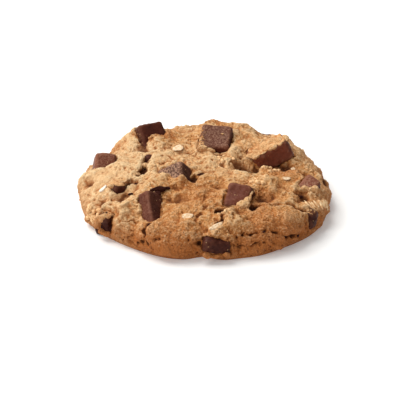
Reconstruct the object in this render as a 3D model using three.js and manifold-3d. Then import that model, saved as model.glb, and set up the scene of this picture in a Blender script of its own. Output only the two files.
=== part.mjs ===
// Chocolate chunk cookie: a domed round of baked oat dough with chunks of dark chocolate sunk into it.
// Millimetres, +Z up, the front towards -Y. The origin is on the base, under the middle of the cookie.
import * as THREE from 'three';
import { mergeVertices } from 'three/addons/utils/BufferGeometryUtils.js';
import Module from 'manifold-3d';

const wasm = await Module();
wasm.setup();

// Driving dimensions of the round.
const HALF_WIDTH = 46.8; // along X, before the lobes
const HALF_DEPTH = 45.8; // along Y, before the lobes
const DOME_HEIGHT = 15.5; // base to crown, before the mounds
const BELLY_HEIGHT = 3.5; // height of the widest line of the wall
const BASE_TUCK = 1.2; // how far the wall draws in from there to the base
const FULLNESS = 2.6; // exponent of the dome's section, 2 for an ellipse
const CHUNK_GAP = 0.3; // play between a chunk and its pocket in the dough
const ROUND_MIDDLE = [0.1, 0.9, 0]; // middle of the plain dome, so that the lobed cookie is centred

// How finely the dough is divided.
const RINGS = 35; // from the crown to the base edge
const POINTS_PER_RING_STEP = 6; // each ring has this many more points than the one inside it
const BASE_RING_SHARES = [0.66, 0.3]; // rings on the flat base, as shares of its edge
const PROFILE_STEPS = 240; // samples of the section that its length is measured on
const DOME_STEPS = 204; // how many of them are on the dome, the rest being on the wall below its belly
const NORMAL_STEP = 0.4; // mm of section on each side that the way out is taken from
const BASE_RING_THINNING = 3; // how many times fewer points each ring of the base has
const MERGE_DISTANCE = 1e-4; // points nearer than this are one point

// Bulges and notches of the plan outline: bearing and spread in degrees, mm out from the plain ellipse.
// A bearing is counted from +X towards +Y, so -90 is the front.
const OUTLINE_LOBES = [
  { bearing: -34, spread: 22, out: 2.4 },
  { bearing: -66, spread: 12, out: 1.6 },
  { bearing: -80, spread: 5, out: 0.8 },
  { bearing: -91, spread: 5, out: -1.8 },
  { bearing: -106, spread: 14, out: 1.2 },
  { bearing: -150, spread: 14, out: 0.7 },
  { bearing: 142, spread: 18, out: -3.4 },
  { bearing: 106, spread: 10, out: -2.2 },
  { bearing: 55, spread: 10, out: -2.8 },
  { bearing: 18, spread: 14, out: -2.8 },
];

// Mounds and hollows of the crust: where, as a bearing and the mm along the dome from the crown,
// then the radius and the height in mm.
const MOUNDS = [
  { bearing: 136, reach: 26, radius: 4.4, height: 3.6 },
  { bearing: 152, reach: 27.5, radius: 3.4, height: -2.2 },
  { bearing: 108, reach: 37, radius: 7, height: -2.8 },
  { bearing: 97, reach: 38, radius: 5, height: -1.8 },
  { bearing: 86, reach: 37, radius: 5, height: 1.8 },
  { bearing: 64, reach: 39, radius: 4.5, height: 1.2 },
  { bearing: 51, reach: 37.5, radius: 4.5, height: -2.6 },
  { bearing: 42, reach: 39, radius: 5, height: 1.2 },
  { bearing: 56, reach: 26, radius: 7, height: 2.2 },
  { bearing: 27, reach: 30, radius: 6, height: 2.4 },
  { bearing: 12, reach: 36, radius: 3.6, height: 1.6 },
  { bearing: 5, reach: 26.5, radius: 3.8, height: -3.4 },
  { bearing: -6, reach: 26.5, radius: 3.5, height: -1.2 },
  { bearing: -4, reach: 20.5, radius: 3, height: -1.2 },
  { bearing: 29, reach: 12.9, radius: 3, height: 2.2 },
  { bearing: 37, reach: 19.5, radius: 3.2, height: 2 },
  { bearing: 33, reach: 25, radius: 3.2, height: 1.4 },
  { bearing: 56, reach: 10, radius: 3.4, height: -1.8 },
  { bearing: -11, reach: 16, radius: 3.6, height: -3.4 },
  { bearing: -3, reach: 13, radius: 2.8, height: -2 },
  { bearing: -5, reach: 19.2, radius: 2.8, height: -1.6 },
  { bearing: 0, reach: 9.2, radius: 2.6, height: 1.4 },
  { bearing: -30, reach: 14.6, radius: 2.6, height: 1.2 },
  { bearing: -24, reach: 18.8, radius: 2.6, height: 1.2 },
  { bearing: -13, reach: 21.5, radius: 2.6, height: 1.2 },
  { bearing: -138, reach: 19.5, radius: 2.8, height: 1.2 },
  { bearing: -118, reach: 17.6, radius: 2.8, height: 1.4 },
  { bearing: -140, reach: 23, radius: 4.5, height: 1 },
  { bearing: -110, reach: 24.5, radius: 6, height: -1.2 },
  { bearing: -144, reach: 36.7, radius: 3, height: -1.8 },
  { bearing: -135, reach: 38, radius: 5, height: 1.6 },
  { bearing: -118, reach: 38, radius: 4.2, height: -2.6 },
  { bearing: -131, reach: 46, radius: 5, height: 1 },
  { bearing: -108, reach: 48.5, radius: 9, height: 1.8 },
  { bearing: -82, reach: 42, radius: 4.5, height: 1.2 },
  { bearing: -99, reach: 40, radius: 4, height: 1.2 },
  { bearing: -73, reach: 42, radius: 5.5, height: 1.6 },
  { bearing: -54, reach: 41.5, radius: 7, height: 2.4 },
  { bearing: -44, reach: 45.5, radius: 6, height: 2 },
  { bearing: -58, reach: 51, radius: 6, height: 0.8 },
  { bearing: -27, reach: 39.5, radius: 2.6, height: -2 },
  { bearing: -24, reach: 40.5, radius: 2.4, height: 1.9 },
  { bearing: -19, reach: 42.3, radius: 2.4, height: 1.9 },
  { bearing: -172, reach: 44, radius: 2.6, height: -2.2 },
  { bearing: 171, reach: 43, radius: 6, height: -1.4 },
  { bearing: 150, reach: 44, radius: 6, height: -1.6 },
  { bearing: -178, reach: 44, radius: 3, height: 1 },
  { bearing: -172, reach: 28, radius: 8, height: 0.8 },
  { bearing: -150, reach: 48.1, radius: 2, height: 1.3 },
  { bearing: -145, reach: 48.2, radius: 2, height: 1.3 },
  { bearing: -146, reach: 45.6, radius: 2, height: 0.9 },
  { bearing: -153, reach: 47.4, radius: 1.8, height: 0.8 },
  { bearing: -139.5, reach: 49.5, radius: 2.6, height: -2.2 },
];

// Cracks in the crust, each a run of points given as [bearing, reach], with its width and depth in mm.
const CRACKS = [
  { width: 1.4, depth: 2.4, run: [[-62, 36], [-52, 37], [-43, 39.5], [-37, 45]] },
  { width: 1.2, depth: 1.8, run: [[-72, 45.5], [-65, 47], [-56, 48], [-45, 51], [-38, 50.5]] },
  { width: 1.2, depth: 1.8, run: [[-79, 35], [-80, 39], [-85, 43.5]] },
  { width: 1.3, depth: 2.0, run: [[169, 22], [-160, 23.5], [-157, 26.5], [-153, 31]] },
  { width: 1.1, depth: 1.5, run: [[-119, 43], [-116, 47], [-118, 50.5]] },
  { width: 1.3, depth: 2.0, run: [[-110, 13.5], [-92, 10.5]] },
];

// Pebbly lumps all over the crust, spread on a spiral, each with its own random radius and height.
const LUMP_COUNT = 260;
const LUMP_RADII = [1.9, 3.5];
const LUMP_HEIGHTS = [-1.1, 1.7];
const LUMP_TURN_PLAY = 0.5; // radians that a lump is moved round at most
const TURN_SEED = 1;
const RADIUS_SEED = 500;
const HEIGHT_SEED = 1000;
const GOLDEN_TURN = Math.PI * (3 - Math.sqrt(5));
const SCATTER_STRIDE = 12.9898;
const SCATTER_SPAN = 43758.5453;
const RELIEF_REACH = 3; // radii beyond which a mound or lump is not felt

// Chocolate chunks: size along their own X, Y and Z, the middle of the block, and how it lies,
// in degrees: turn about Z after tip about X after roll about Y.
const CHUNKS = [
  { name: 'chunk_back_left', size: [10.7, 5, 12.8], at: [-19.2, 20.4, 13.3], turn: 30, tip: -45, roll: 1 },
  { name: 'chunk_left_rim', size: [8, 7.7, 7], at: [-36.9, 4.4, 11.3], turn: -3, tip: 45, roll: 9 },
  { name: 'chunk_back', size: [11.8, 12.5, 7.5], at: [4.5, 15, 15.2], turn: -8, tip: 18, roll: 1 },
  { name: 'chunk_back_right', size: [15, 7.5, 8], at: [24.7, 6.6, 15.1], turn: 21, tip: 0, roll: -22 },
  { name: 'chunk_centre', size: [11, 11.2, 6.4], at: [-11, -10.8, 12.5], turn: 3, tip: 23, roll: -35 },
  { name: 'chunk_front_left', size: [5.6, 14, 7], at: [-18.9, -29, 10.6], turn: 11, tip: 30, roll: -48 },
  { name: 'chunk_centre_right', size: [9, 10.7, 7.3], at: [12.6, -24.6, 12.6], turn: -16, tip: 30, roll: 1 },
  { name: 'chunk_right', size: [8.4, 6.2, 7], at: [38.2, -11.8, 9.9], turn: 57, tip: 17, roll: -19 },
  { name: 'chunk_front_rim', size: [9.8, 7, 4.8], at: [4.6, -43.6, 6], turn: 4, tip: 2, roll: 9 },
  { name: 'chunk_right_rim', size: [3.8, 5, 6.2], at: [37.9, -27.4, 6.7], turn: 50, tip: 6, roll: 8 },
  { name: 'chunk_left_small', size: [4.7, 5.4, 5.4], at: [-31.2, -16, 12.2], turn: 19, tip: 0, roll: 6 },
  { name: 'chunk_left_wall', size: [4.8, 6, 6.2], at: [-34.2, -28.6, 5.8], turn: -40, tip: 14, roll: -10 },
  { name: 'chunk_crack', size: [3.2, 3.2, 4.4], at: [-20.6, 5, 12.9], turn: 30, tip: 12, roll: 10 },
  { name: 'chunk_rear_left', size: [9, 7, 5.6], at: [-9.6, 39.6, 4.4], turn: 14, tip: 0, roll: 6 },
  { name: 'chunk_rear_right', size: [8, 7, 5.6], at: [22.9, 35, 4.4], turn: -32, tip: 0, roll: -5 },
];
const CHUNK_CORNER = 1.0; // radius of a chunk's upright edges
const CHUNK_EDGE = 0.8; // rounding of its top and bottom edges
const CHUNK_TAPER = 0.12; // how much narrower the top is than the bottom

// Rolled oat flakes that lie on the crust: where, and which way they point, in degrees.
const FLAKES = [
  { bearing: 132, reach: 15.5, turn: 20 },
  { bearing: -157.5, reach: 39, turn: 35 },
  { bearing: -99, reach: 37.2, turn: 5 },
  { bearing: -84, reach: 42.3, turn: 30 },
  { bearing: -21, reach: 31.2, turn: 15 },
  { bearing: -4, reach: 33, turn: 70 },
  { bearing: 76, reach: 49, turn: 40 },
  { bearing: 128, reach: 48.5, turn: 110 },
  { bearing: 34, reach: 50, turn: 60 },
];
const FLAKE_HALF_SIZE = [2.1, 1.4, 0.55];
const FLAKE_SIDES = 7;
const FLAKE_BANDS = 3;

// Finishes.
const DOUGH_COLOUR = 0xd9a868;
const CHOCOLATE_COLOUR = 0x4a2620;
const DOUGH_ROUGHNESS = 0.85;
const CHOCOLATE_ROUGHNESS = 0.5;

const radians = THREE.MathUtils.degToRad;
const bell = (x) => Math.exp(-x * x);

// A number from 0 to 1 that looks random and is the same each time for the same seed.
function scatter(seed) {
  const value = Math.sin(seed * SCATTER_STRIDE) * SCATTER_SPAN;
  return value - Math.floor(value);
}

// The section from the crown to the base edge: points of [share of the outline's radius, height],
// with the length up to each.
function sectionOfDome() {
  const points = [];
  for (let i = 0; i <= DOME_STEPS; i += 1) {
    const angle = (Math.PI / 2) * (1 - i / DOME_STEPS);
    const share = Math.max(Math.cos(angle), 0) ** (2 / FULLNESS);
    const rise = Math.sin(angle) ** (2 / FULLNESS);
    points.push([share, BELLY_HEIGHT + (DOME_HEIGHT - BELLY_HEIGHT) * rise]);
  }
  const wallSteps = PROFILE_STEPS - DOME_STEPS;
  for (let i = 1; i <= wallSteps; i += 1) {
    const down = i / wallSteps;
    points.push([1 - (BASE_TUCK / HALF_WIDTH) * down * down, BELLY_HEIGHT * (1 - down)]);
  }
  const lengths = [0];
  for (let i = 1; i < points.length; i += 1) {
    const across = (points[i][0] - points[i - 1][0]) * HALF_WIDTH;
    const up = points[i][1] - points[i - 1][1];
    lengths.push(lengths[i - 1] + Math.hypot(across, up));
  }
  return { points, lengths, total: lengths[lengths.length - 1] };
}

const section = sectionOfDome();

// The section at a reach in mm from the crown: [share of the outline's radius, height].
function sectionAt(reach) {
  let i = 1;
  while (i < section.lengths.length - 1 && section.lengths[i] < reach) i += 1;
  const span = section.lengths[i] - section.lengths[i - 1];
  const part = THREE.MathUtils.clamp((reach - section.lengths[i - 1]) / span, 0, 1);
  const [from, to] = [section.points[i - 1], section.points[i]];
  return [from[0] + (to[0] - from[0]) * part, from[1] + (to[1] - from[1]) * part];
}

// The plan radius of the round at a bearing in radians.
function outlineRadius(bearing) {
  let radius = 1 / Math.hypot(Math.cos(bearing) / HALF_WIDTH, Math.sin(bearing) / HALF_DEPTH);
  for (const lobe of OUTLINE_LOBES) {
    const away = bearing - radians(lobe.bearing);
    const turn = Math.atan2(Math.sin(away), Math.cos(away));
    radius += lobe.out * bell(turn / radians(lobe.spread));
  }
  return radius;
}

// A point of the plain dome, before any relief.
function domePoint(bearing, reach) {
  const [share, height] = sectionAt(reach);
  const radius = share * outlineRadius(bearing);
  return new THREE.Vector3(radius * Math.cos(bearing), radius * Math.sin(bearing), height);
}

// The way out of the plain dome at a point of it.
function domeNormal(bearing, reach) {
  const [innerShare, innerHeight] = sectionAt(Math.max(reach - NORMAL_STEP, 0));
  const [outerShare, outerHeight] = sectionAt(Math.min(reach + NORMAL_STEP, section.total));
  const across = (outerShare - innerShare) * HALF_WIDTH;
  const fall = innerHeight - outerHeight;
  const out = fall / Math.hypot(across, fall);
  const up = across / Math.hypot(across, fall);
  return new THREE.Vector3(out * Math.cos(bearing), out * Math.sin(bearing), up);
}

const anchor = ([bearing, reach]) => domePoint(radians(bearing), reach);
const mounds = MOUNDS.map((mound) => ({ ...mound, centre: anchor([mound.bearing, mound.reach]) }));
const cracks = CRACKS.map((crack) => ({ ...crack, points: crack.run.map(anchor) }));

function lumpsOnCrust() {
  const lumps = [];
  for (let i = 0; i < LUMP_COUNT; i += 1) {
    const reach = section.total * Math.sqrt((i + 0.5) / LUMP_COUNT);
    const bearing = i * GOLDEN_TURN + LUMP_TURN_PLAY * scatter(i + TURN_SEED);
    const radius = THREE.MathUtils.lerp(...LUMP_RADII, scatter(i + RADIUS_SEED));
    const height = THREE.MathUtils.lerp(...LUMP_HEIGHTS, scatter(i + HEIGHT_SEED));
    lumps.push({ centre: domePoint(bearing, reach), radius, height });
  }
  return lumps;
}

const lumps = lumpsOnCrust();

// How far the crust stands out from the plain dome at a point.
function reliefAt(point) {
  let out = 0;
  for (const rise of [...mounds, ...lumps]) {
    const near = point.distanceTo(rise.centre) / rise.radius;
    if (near < RELIEF_REACH) out += rise.height * bell(near);
  }
  const nearest = new THREE.Vector3();
  for (const crack of cracks) {
    let gap = Infinity;
    for (let i = 1; i < crack.points.length; i += 1) {
      new THREE.Line3(crack.points[i - 1], crack.points[i]).closestPointToPoint(point, true, nearest);
      gap = Math.min(gap, nearest.distanceTo(point));
    }
    out -= crack.depth * bell(gap / crack.width);
  }
  return out;
}

// A point of the crust, where the relief dies away towards the base edge.
function crustPoint(bearing, reach) {
  const point = domePoint(bearing, reach);
  const hold = THREE.MathUtils.smoothstep(point.z, 0, BELLY_HEIGHT);
  return point.addScaledVector(domeNormal(bearing, reach), hold * reliefAt(point));
}

// Joins two rings of points, each evenly spaced round the axis, with a band of triangles.
function stitch(inner, outer, triangles) {
  let [i, j] = [0, 0];
  while (i < inner.count || j < outer.count) {
    const a = inner.start + (i % inner.count);
    const b = outer.start + (j % outer.count);
    const outerIsNext = (j + 1) * inner.count <= (i + 1) * outer.count;
    if (i === inner.count || (j < outer.count && outerIsNext)) {
      j += 1;
      triangles.push(a, b, outer.start + (j % outer.count));
    } else {
      i += 1;
      triangles.push(a, b, inner.start + (i % inner.count));
    }
  }
}

// The whole round as one closed surface: the crown, the rings of the crust, and the flat base.
function doughGeometry() {
  const points = [crustPoint(0, 0)];
  const triangles = [];
  let inner = { start: 0, count: 1 };
  const addRing = (count, place) => {
    const ring = { start: points.length, count };
    for (let i = 0; i < count; i += 1) points.push(place((2 * Math.PI * i) / count));
    stitch(inner, ring, triangles);
    inner = ring;
  };
  for (let ring = 1; ring <= RINGS; ring += 1) {
    const reach = (section.total * ring) / RINGS;
    addRing(ring * POINTS_PER_RING_STEP, (bearing) => crustPoint(bearing, reach));
  }
  for (const share of BASE_RING_SHARES) {
    const count = Math.round(inner.count / BASE_RING_THINNING);
    addRing(count, (bearing) => domePoint(bearing, section.total).multiplyScalar(share));
  }
  points.push(new THREE.Vector3());
  stitch(inner, { start: points.length - 1, count: 1 }, triangles);
  const geometry = new THREE.BufferGeometry().setFromPoints(points);
  geometry.setIndex(triangles);
  return geometry;
}

// A block with rounded edges, a little narrower at the top, about its own middle.
function chunkGeometry(size, grow = 0) {
  const [width, depth, height] = size.map((side) => side + 2 * grow);
  const corner = CHUNK_CORNER + grow;
  const [x, y] = [width / 2 - corner, depth / 2 - corner];
  const outline = new THREE.Shape();
  outline.absarc(x, y, corner, 0, Math.PI / 2);
  outline.absarc(-x, y, corner, Math.PI / 2, Math.PI);
  outline.absarc(-x, -y, corner, Math.PI, 1.5 * Math.PI);
  outline.absarc(x, -y, corner, 1.5 * Math.PI, 2 * Math.PI);
  const geometry = new THREE.ExtrudeGeometry(outline, {
    depth: height - 2 * CHUNK_EDGE,
    curveSegments: 1,
    bevelThickness: CHUNK_EDGE,
    bevelSize: CHUNK_EDGE,
    bevelOffset: -CHUNK_EDGE,
    bevelSegments: 2,
  });
  geometry.translate(0, 0, CHUNK_EDGE - height / 2);
  const places = geometry.attributes.position;
  for (let i = 0; i < places.count; i += 1) {
    const narrow = 1 - CHUNK_TAPER * (places.getZ(i) / size[2]);
    places.setXY(i, places.getX(i) * narrow, places.getY(i) * narrow);
  }
  return geometry;
}

// Sets a chunk's mesh where the block lies.
function placeChunk(object, chunk) {
  object.position.set(...chunk.at);
  object.rotation.set(radians(chunk.tip), radians(chunk.roll), radians(chunk.turn), 'ZXY');
  object.updateMatrix();
  return object;
}

// A lens-shaped flake lying on the crust.
function flakeGeometry(flake) {
  const bearing = radians(flake.bearing);
  const geometry = new THREE.SphereGeometry(1, FLAKE_SIDES, FLAKE_BANDS);
  geometry.rotateX(Math.PI / 2);
  geometry.scale(...FLAKE_HALF_SIZE);
  geometry.rotateZ(radians(flake.turn));
  const up = new THREE.Vector3(0, 0, 1);
  const lie = new THREE.Quaternion().setFromUnitVectors(up, domeNormal(bearing, flake.reach));
  geometry.applyQuaternion(lie);
  geometry.translate(...crustPoint(bearing, flake.reach));
  return geometry;
}

// Solids for joining and cutting.
function toSolid(geometry) {
  const bare = geometry.clone();
  bare.deleteAttribute('normal');
  bare.deleteAttribute('uv');
  const merged = mergeVertices(bare, MERGE_DISTANCE);
  const vertProperties = new Float32Array(merged.attributes.position.array);
  const triVerts = new Uint32Array(merged.index.array);
  return new wasm.Manifold(new wasm.Mesh({ numProp: 3, vertProperties, triVerts }));
}

function toGeometry(solid) {
  const mesh = solid.getMesh();
  const geometry = new THREE.BufferGeometry();
  geometry.setAttribute('position', new THREE.BufferAttribute(new Float32Array(mesh.vertProperties), 3));
  geometry.setIndex(new THREE.BufferAttribute(new Uint32Array(mesh.triVerts), 1));
  geometry.computeVertexNormals();
  return geometry;
}

// The dough with its flakes, cut out round each chunk, without any crumb that a cut leaves loose.
function doughWithPockets() {
  let solid = toSolid(doughGeometry());
  for (const flake of FLAKES) solid = solid.add(toSolid(flakeGeometry(flake)));
  for (const chunk of CHUNKS) {
    const pocket = placeChunk(new THREE.Mesh(chunkGeometry(chunk.size, CHUNK_GAP)), chunk);
    solid = solid.subtract(toSolid(pocket.geometry.applyMatrix4(pocket.matrix)));
  }
  const bodies = solid.decompose().sort((a, b) => b.volume() - a.volume());
  return toGeometry(bodies[0]);
}

const cookie = new THREE.Group();
cookie.position.set(...ROUND_MIDDLE);

const finish = (color, roughness) => new THREE.MeshStandardMaterial({ color, roughness });

const dough = new THREE.Mesh(doughWithPockets(), finish(DOUGH_COLOUR, DOUGH_ROUGHNESS));
dough.name = 'dough';
cookie.add(dough);

for (const chunk of CHUNKS) {
  const material = finish(CHOCOLATE_COLOUR, CHOCOLATE_ROUGHNESS);
  const mesh = placeChunk(new THREE.Mesh(chunkGeometry(chunk.size), material), chunk);
  mesh.name = chunk.name;
  cookie.add(mesh);
}

export default cookie;
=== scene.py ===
"""Looks of a chocolate chunk cookie: crumbly oat dough, dark chocolate chunks, oat flakes and crumbs."""

import logging
import math
from collections.abc import Callable
from dataclasses import dataclass
from enum import Enum
from typing import Any, TypeVar, Union

import bmesh
import bpy
import numpy as np
from mathutils import Matrix, Quaternion, Vector, noise
from mathutils.bvhtree import BVHTree


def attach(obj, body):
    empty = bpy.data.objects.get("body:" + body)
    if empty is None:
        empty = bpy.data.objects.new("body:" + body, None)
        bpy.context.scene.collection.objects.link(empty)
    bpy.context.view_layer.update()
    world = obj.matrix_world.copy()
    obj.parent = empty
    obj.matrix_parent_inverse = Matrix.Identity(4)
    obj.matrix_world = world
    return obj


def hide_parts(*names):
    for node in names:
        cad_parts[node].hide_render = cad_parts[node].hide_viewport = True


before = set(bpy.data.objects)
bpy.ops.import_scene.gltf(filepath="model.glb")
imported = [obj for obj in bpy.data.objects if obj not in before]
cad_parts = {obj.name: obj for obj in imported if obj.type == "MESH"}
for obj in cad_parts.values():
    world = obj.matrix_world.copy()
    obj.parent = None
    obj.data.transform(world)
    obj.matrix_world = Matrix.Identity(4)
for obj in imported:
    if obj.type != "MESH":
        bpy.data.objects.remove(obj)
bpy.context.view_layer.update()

MM = 0.001
BODY = "root"
PHOTO_SIDE_PX = 400
GOLDEN_TURN = math.pi * (3 - math.sqrt(5))
NOISE_SEED = 8
SCATTER_STEP = 12.9898
SCATTER_SPAN = 43758.5453
WELD_GAP = 0.001 * MM

log = logging.getLogger("cookie")

Array = np.ndarray
Span = tuple[float, float]
Point = tuple[float, float, float]
Colour = tuple[float, float, float, float]
Triangle = tuple[int, int, int]
Hump = tuple[Array, float, float]
Object = bpy.types.Object
Mesh = bpy.types.Mesh
Material = bpy.types.Material
Node = bpy.types.Node
Socket = bpy.types.NodeSocket
Settings = dict[str, Any]
Sockets = dict[int | str, Any]
Made = TypeVar("Made")


class Slot(Enum):
    """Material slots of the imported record."""

    DOUGH = "dough"
    CHOCOLATE = "chocolate"


class Trait(Enum):
    """What a mesh says about each of its points, for the shape rules and the finishes to read."""

    ROUGH = "rough"
    CRAG = "crag"
    TOAST = "toast"
    CREASE = "crease"
    HOLLOW = "hollow"
    PIT = "pit"
    SMEAR = "smear"
    BLOOM = "bloom"
    WARM = "warm"
    TURN = "turn"
    SIZE = "size"
    UP = "up"
    PALE = "pale"


class Cling(Enum):
    """Where dough clings to a chunk: nowhere, on the faces that look one way, or at one end."""

    NOWHERE = "nowhere"
    FACE = "face"
    END = "end"


def srgb(red: float, green: float, blue: float) -> Colour:
    """Turns a display colour, 0 to 255, into the linear colour that shaders take.

    Args:
        red: Red, 0 to 255.
        green: Green, 0 to 255.
        blue: Blue, 0 to 255.

    Returns:
        The linear colour with full alpha.
    """
    shares = (channel / 255 for channel in (red, green, blue))
    linear = [s / 12.92 if s <= 0.04045 else ((s + 0.055) / 1.055) ** 2.4 for s in shares]
    return (linear[0], linear[1], linear[2], 1.0)


def smooth_between(low: float, high: float, values: Array) -> Array:
    """Eases from 0 at low to 1 at high.

    Args:
        low: Where the result is still 0.
        high: Where the result reaches 1.
        values: What is eased.

    Returns:
        The eased share for each value.
    """
    share = np.clip((values - low) / (high - low), 0, 1)
    return share * share * (3 - 2 * share)


def scatter(seed: float) -> float:
    """A number from 0 to 1 that looks random and is the same each time, so each use has seeds of its own."""
    value = math.sin(seed * SCATTER_STEP) * SCATTER_SPAN
    return value - math.floor(value)


def wobble(points: Array, size: float, seed: float) -> Array:
    """Smooth random vectors over space.

    Args:
        points: Places in mm.
        size: Size in mm of the wobble's features.
        seed: Shifts the pattern.

    Returns:
        One vector for each point, each part from about -1 to 1.
    """
    places = points / size + seed
    return np.array([noise.noise_vector(Vector(place)) for place in places])


def even_turns(count: int) -> Array:
    """Evenly spaced turns round a full circle, in radians."""
    return math.tau * np.arange(count) / count


def rows(kind: Callable[..., Made], *values: tuple) -> tuple[Made, ...]:
    """Makes one thing of a kind for each row of its values."""
    return tuple(kind(*row) for row in values)


def link(name: str, data: bpy.types.ID) -> Object:
    """Makes an object and puts it in the scene.

    Args:
        name: The object's name.
        data: Its mesh, lamp or lens.

    Returns:
        The object.
    """
    made = bpy.data.objects.new(name, data)
    bpy.context.scene.collection.objects.link(made)
    return made


def fill(mesh: Mesh, body: bmesh.types.BMesh) -> Mesh:
    """Fills a mesh with a body, which is then done with.

    Args:
        mesh: The mesh.
        body: What it takes in.

    Returns:
        The same mesh.
    """
    body.to_mesh(mesh)
    body.free()
    return mesh


def settle(made: Object) -> Object:
    """Turns what an object's modifiers make into its plain mesh, and removes the modifiers.

    Args:
        made: The object with modifiers.

    Returns:
        The same object.
    """
    depsgraph = bpy.context.evaluated_depsgraph_get()
    shown = made.evaluated_get(depsgraph)
    mesh = bpy.data.meshes.new_from_object(shown, preserve_all_data_layers=True, depsgraph=depsgraph)
    made.modifiers.clear()
    made.data = mesh
    return made


def even(made: Object, voxel: float, wear: int = 0) -> Object:
    """Gives an object one closed mesh of small, even faces.

    Args:
        made: The object.
        voxel: The faces' size in mm.
        wear: How many times its edges are worn rounder.

    Returns:
        The same object.
    """
    remesh = made.modifiers.new("even", "REMESH")
    remesh.mode = "VOXEL"
    remesh.voxel_size = voxel * MM
    remesh.use_smooth_shade = True
    if wear:
        worn = made.modifiers.new("worn", "SMOOTH")
        worn.iterations = wear
    return settle(made)


def read_vectors(items: Any, name: str) -> Array:
    """Reads one vector of each of a mesh's items.

    Args:
        items: The mesh's points, normals or faces.
        name: Which of their values is read.

    Returns:
        One row for each item.
    """
    flat = np.zeros(len(items) * 3, np.float32)
    items.foreach_get(name, flat)
    return flat.reshape(-1, 3).astype(float)


def points_of(mesh: Mesh) -> Array:
    """The places of a mesh's points, in mm."""
    return read_vectors(mesh.vertices, "co") / MM


def normals_of(mesh: Mesh) -> Array:
    """The outward direction at each point of a mesh."""
    return read_vectors(mesh.vertex_normals, "vector")


def move_points(mesh: Mesh, points: Array) -> None:
    """Puts a mesh's points at new places, given in mm."""
    mesh.vertices.foreach_set("co", (points * MM).astype(np.float32).ravel())
    mesh.update()


def write_trait(mesh: Mesh, trait: Trait, values: Array) -> None:
    """Stores a number or a vector for each point of a mesh.

    Args:
        mesh: The mesh that gets the trait.
        trait: Which trait it is.
        values: One number or one vector for each point.
    """
    kind, name = ("FLOAT", "value") if values.ndim == 1 else ("FLOAT_VECTOR", "vector")
    attribute = mesh.attributes.new(trait.value, kind, "POINT")
    attribute.data.foreach_set(name, values.astype(np.float32).ravel())


def sunkenness(mesh: Mesh, rounds: int) -> Array:
    """How far each point lies below the mean of its surroundings, in mm, negative on a crest.

    Args:
        mesh: The mesh that is measured.
        rounds: How many times the surroundings are averaged, so how far they reach.

    Returns:
        One depth for each point.
    """
    points = points_of(mesh)
    flat = np.zeros(len(mesh.edges) * 2, np.int32)
    mesh.edges.foreach_get("vertices", flat)
    ends = flat.reshape(-1, 2)
    count = len(points)
    degree = np.maximum(np.bincount(ends.ravel(), minlength=count), 1)
    mean = points.copy()
    for _ in range(rounds):
        for axis in range(3):
            along = mean[:, axis]
            total = np.bincount(ends[:, 0], along[ends[:, 1]], count)
            total += np.bincount(ends[:, 1], along[ends[:, 0]], count)
            mean[:, axis] = total / degree
    return np.einsum("ij,ij->i", mean - points, normals_of(mesh))


def math_operator(operation: str, reflected: bool = False) -> Callable[["Value", "Term"], "Value"]:
    """Makes the method of Value that stands for one operation of the Math node.

    Args:
        operation: The Math node's operation.
        reflected: Whether the other term comes first.

    Returns:
        The method.
    """

    def method(self: "Value", other: "Term") -> "Value":
        """Adds a Math node for this value and another term."""
        return self.math(operation, other, self) if reflected else self.math(operation, self, other)

    return method


class Value:
    """A node's output that can be used in a sum."""

    __add__ = math_operator("ADD")
    __radd__ = math_operator("ADD", reflected=True)
    __sub__ = math_operator("SUBTRACT")
    __rsub__ = math_operator("SUBTRACT", reflected=True)
    __mul__ = math_operator("MULTIPLY")
    __rmul__ = math_operator("MULTIPLY", reflected=True)
    __gt__ = math_operator("GREATER_THAN")

    def __init__(self, tree: "Tree", socket: Socket) -> None:
        """Wraps one output socket of a tree."""
        self.tree = tree
        self.socket = socket

    def math(self, operation: str, *terms: "Term") -> "Value":
        """Adds a Math node for one operation on the terms."""
        return self.tree.value("ShaderNodeMath", {"operation": operation}, dict(enumerate(terms)))

    def __neg__(self) -> "Value":
        """This with its sign turned."""
        return self * -1.0

    def __abs__(self) -> "Value":
        """The size of this without its sign."""
        return self.math("ABSOLUTE", self)

    def ease(self, low: float, high: float) -> "Value":
        """Eases from 0 at low to 1 at high, where low may be the larger one."""
        ends = {"Value": self, "From Min": low, "From Max": high}
        return self.tree.value("ShaderNodeMapRange", {"interpolation_type": "SMOOTHSTEP"}, ends)


Term = Union[Value, float]


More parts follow.
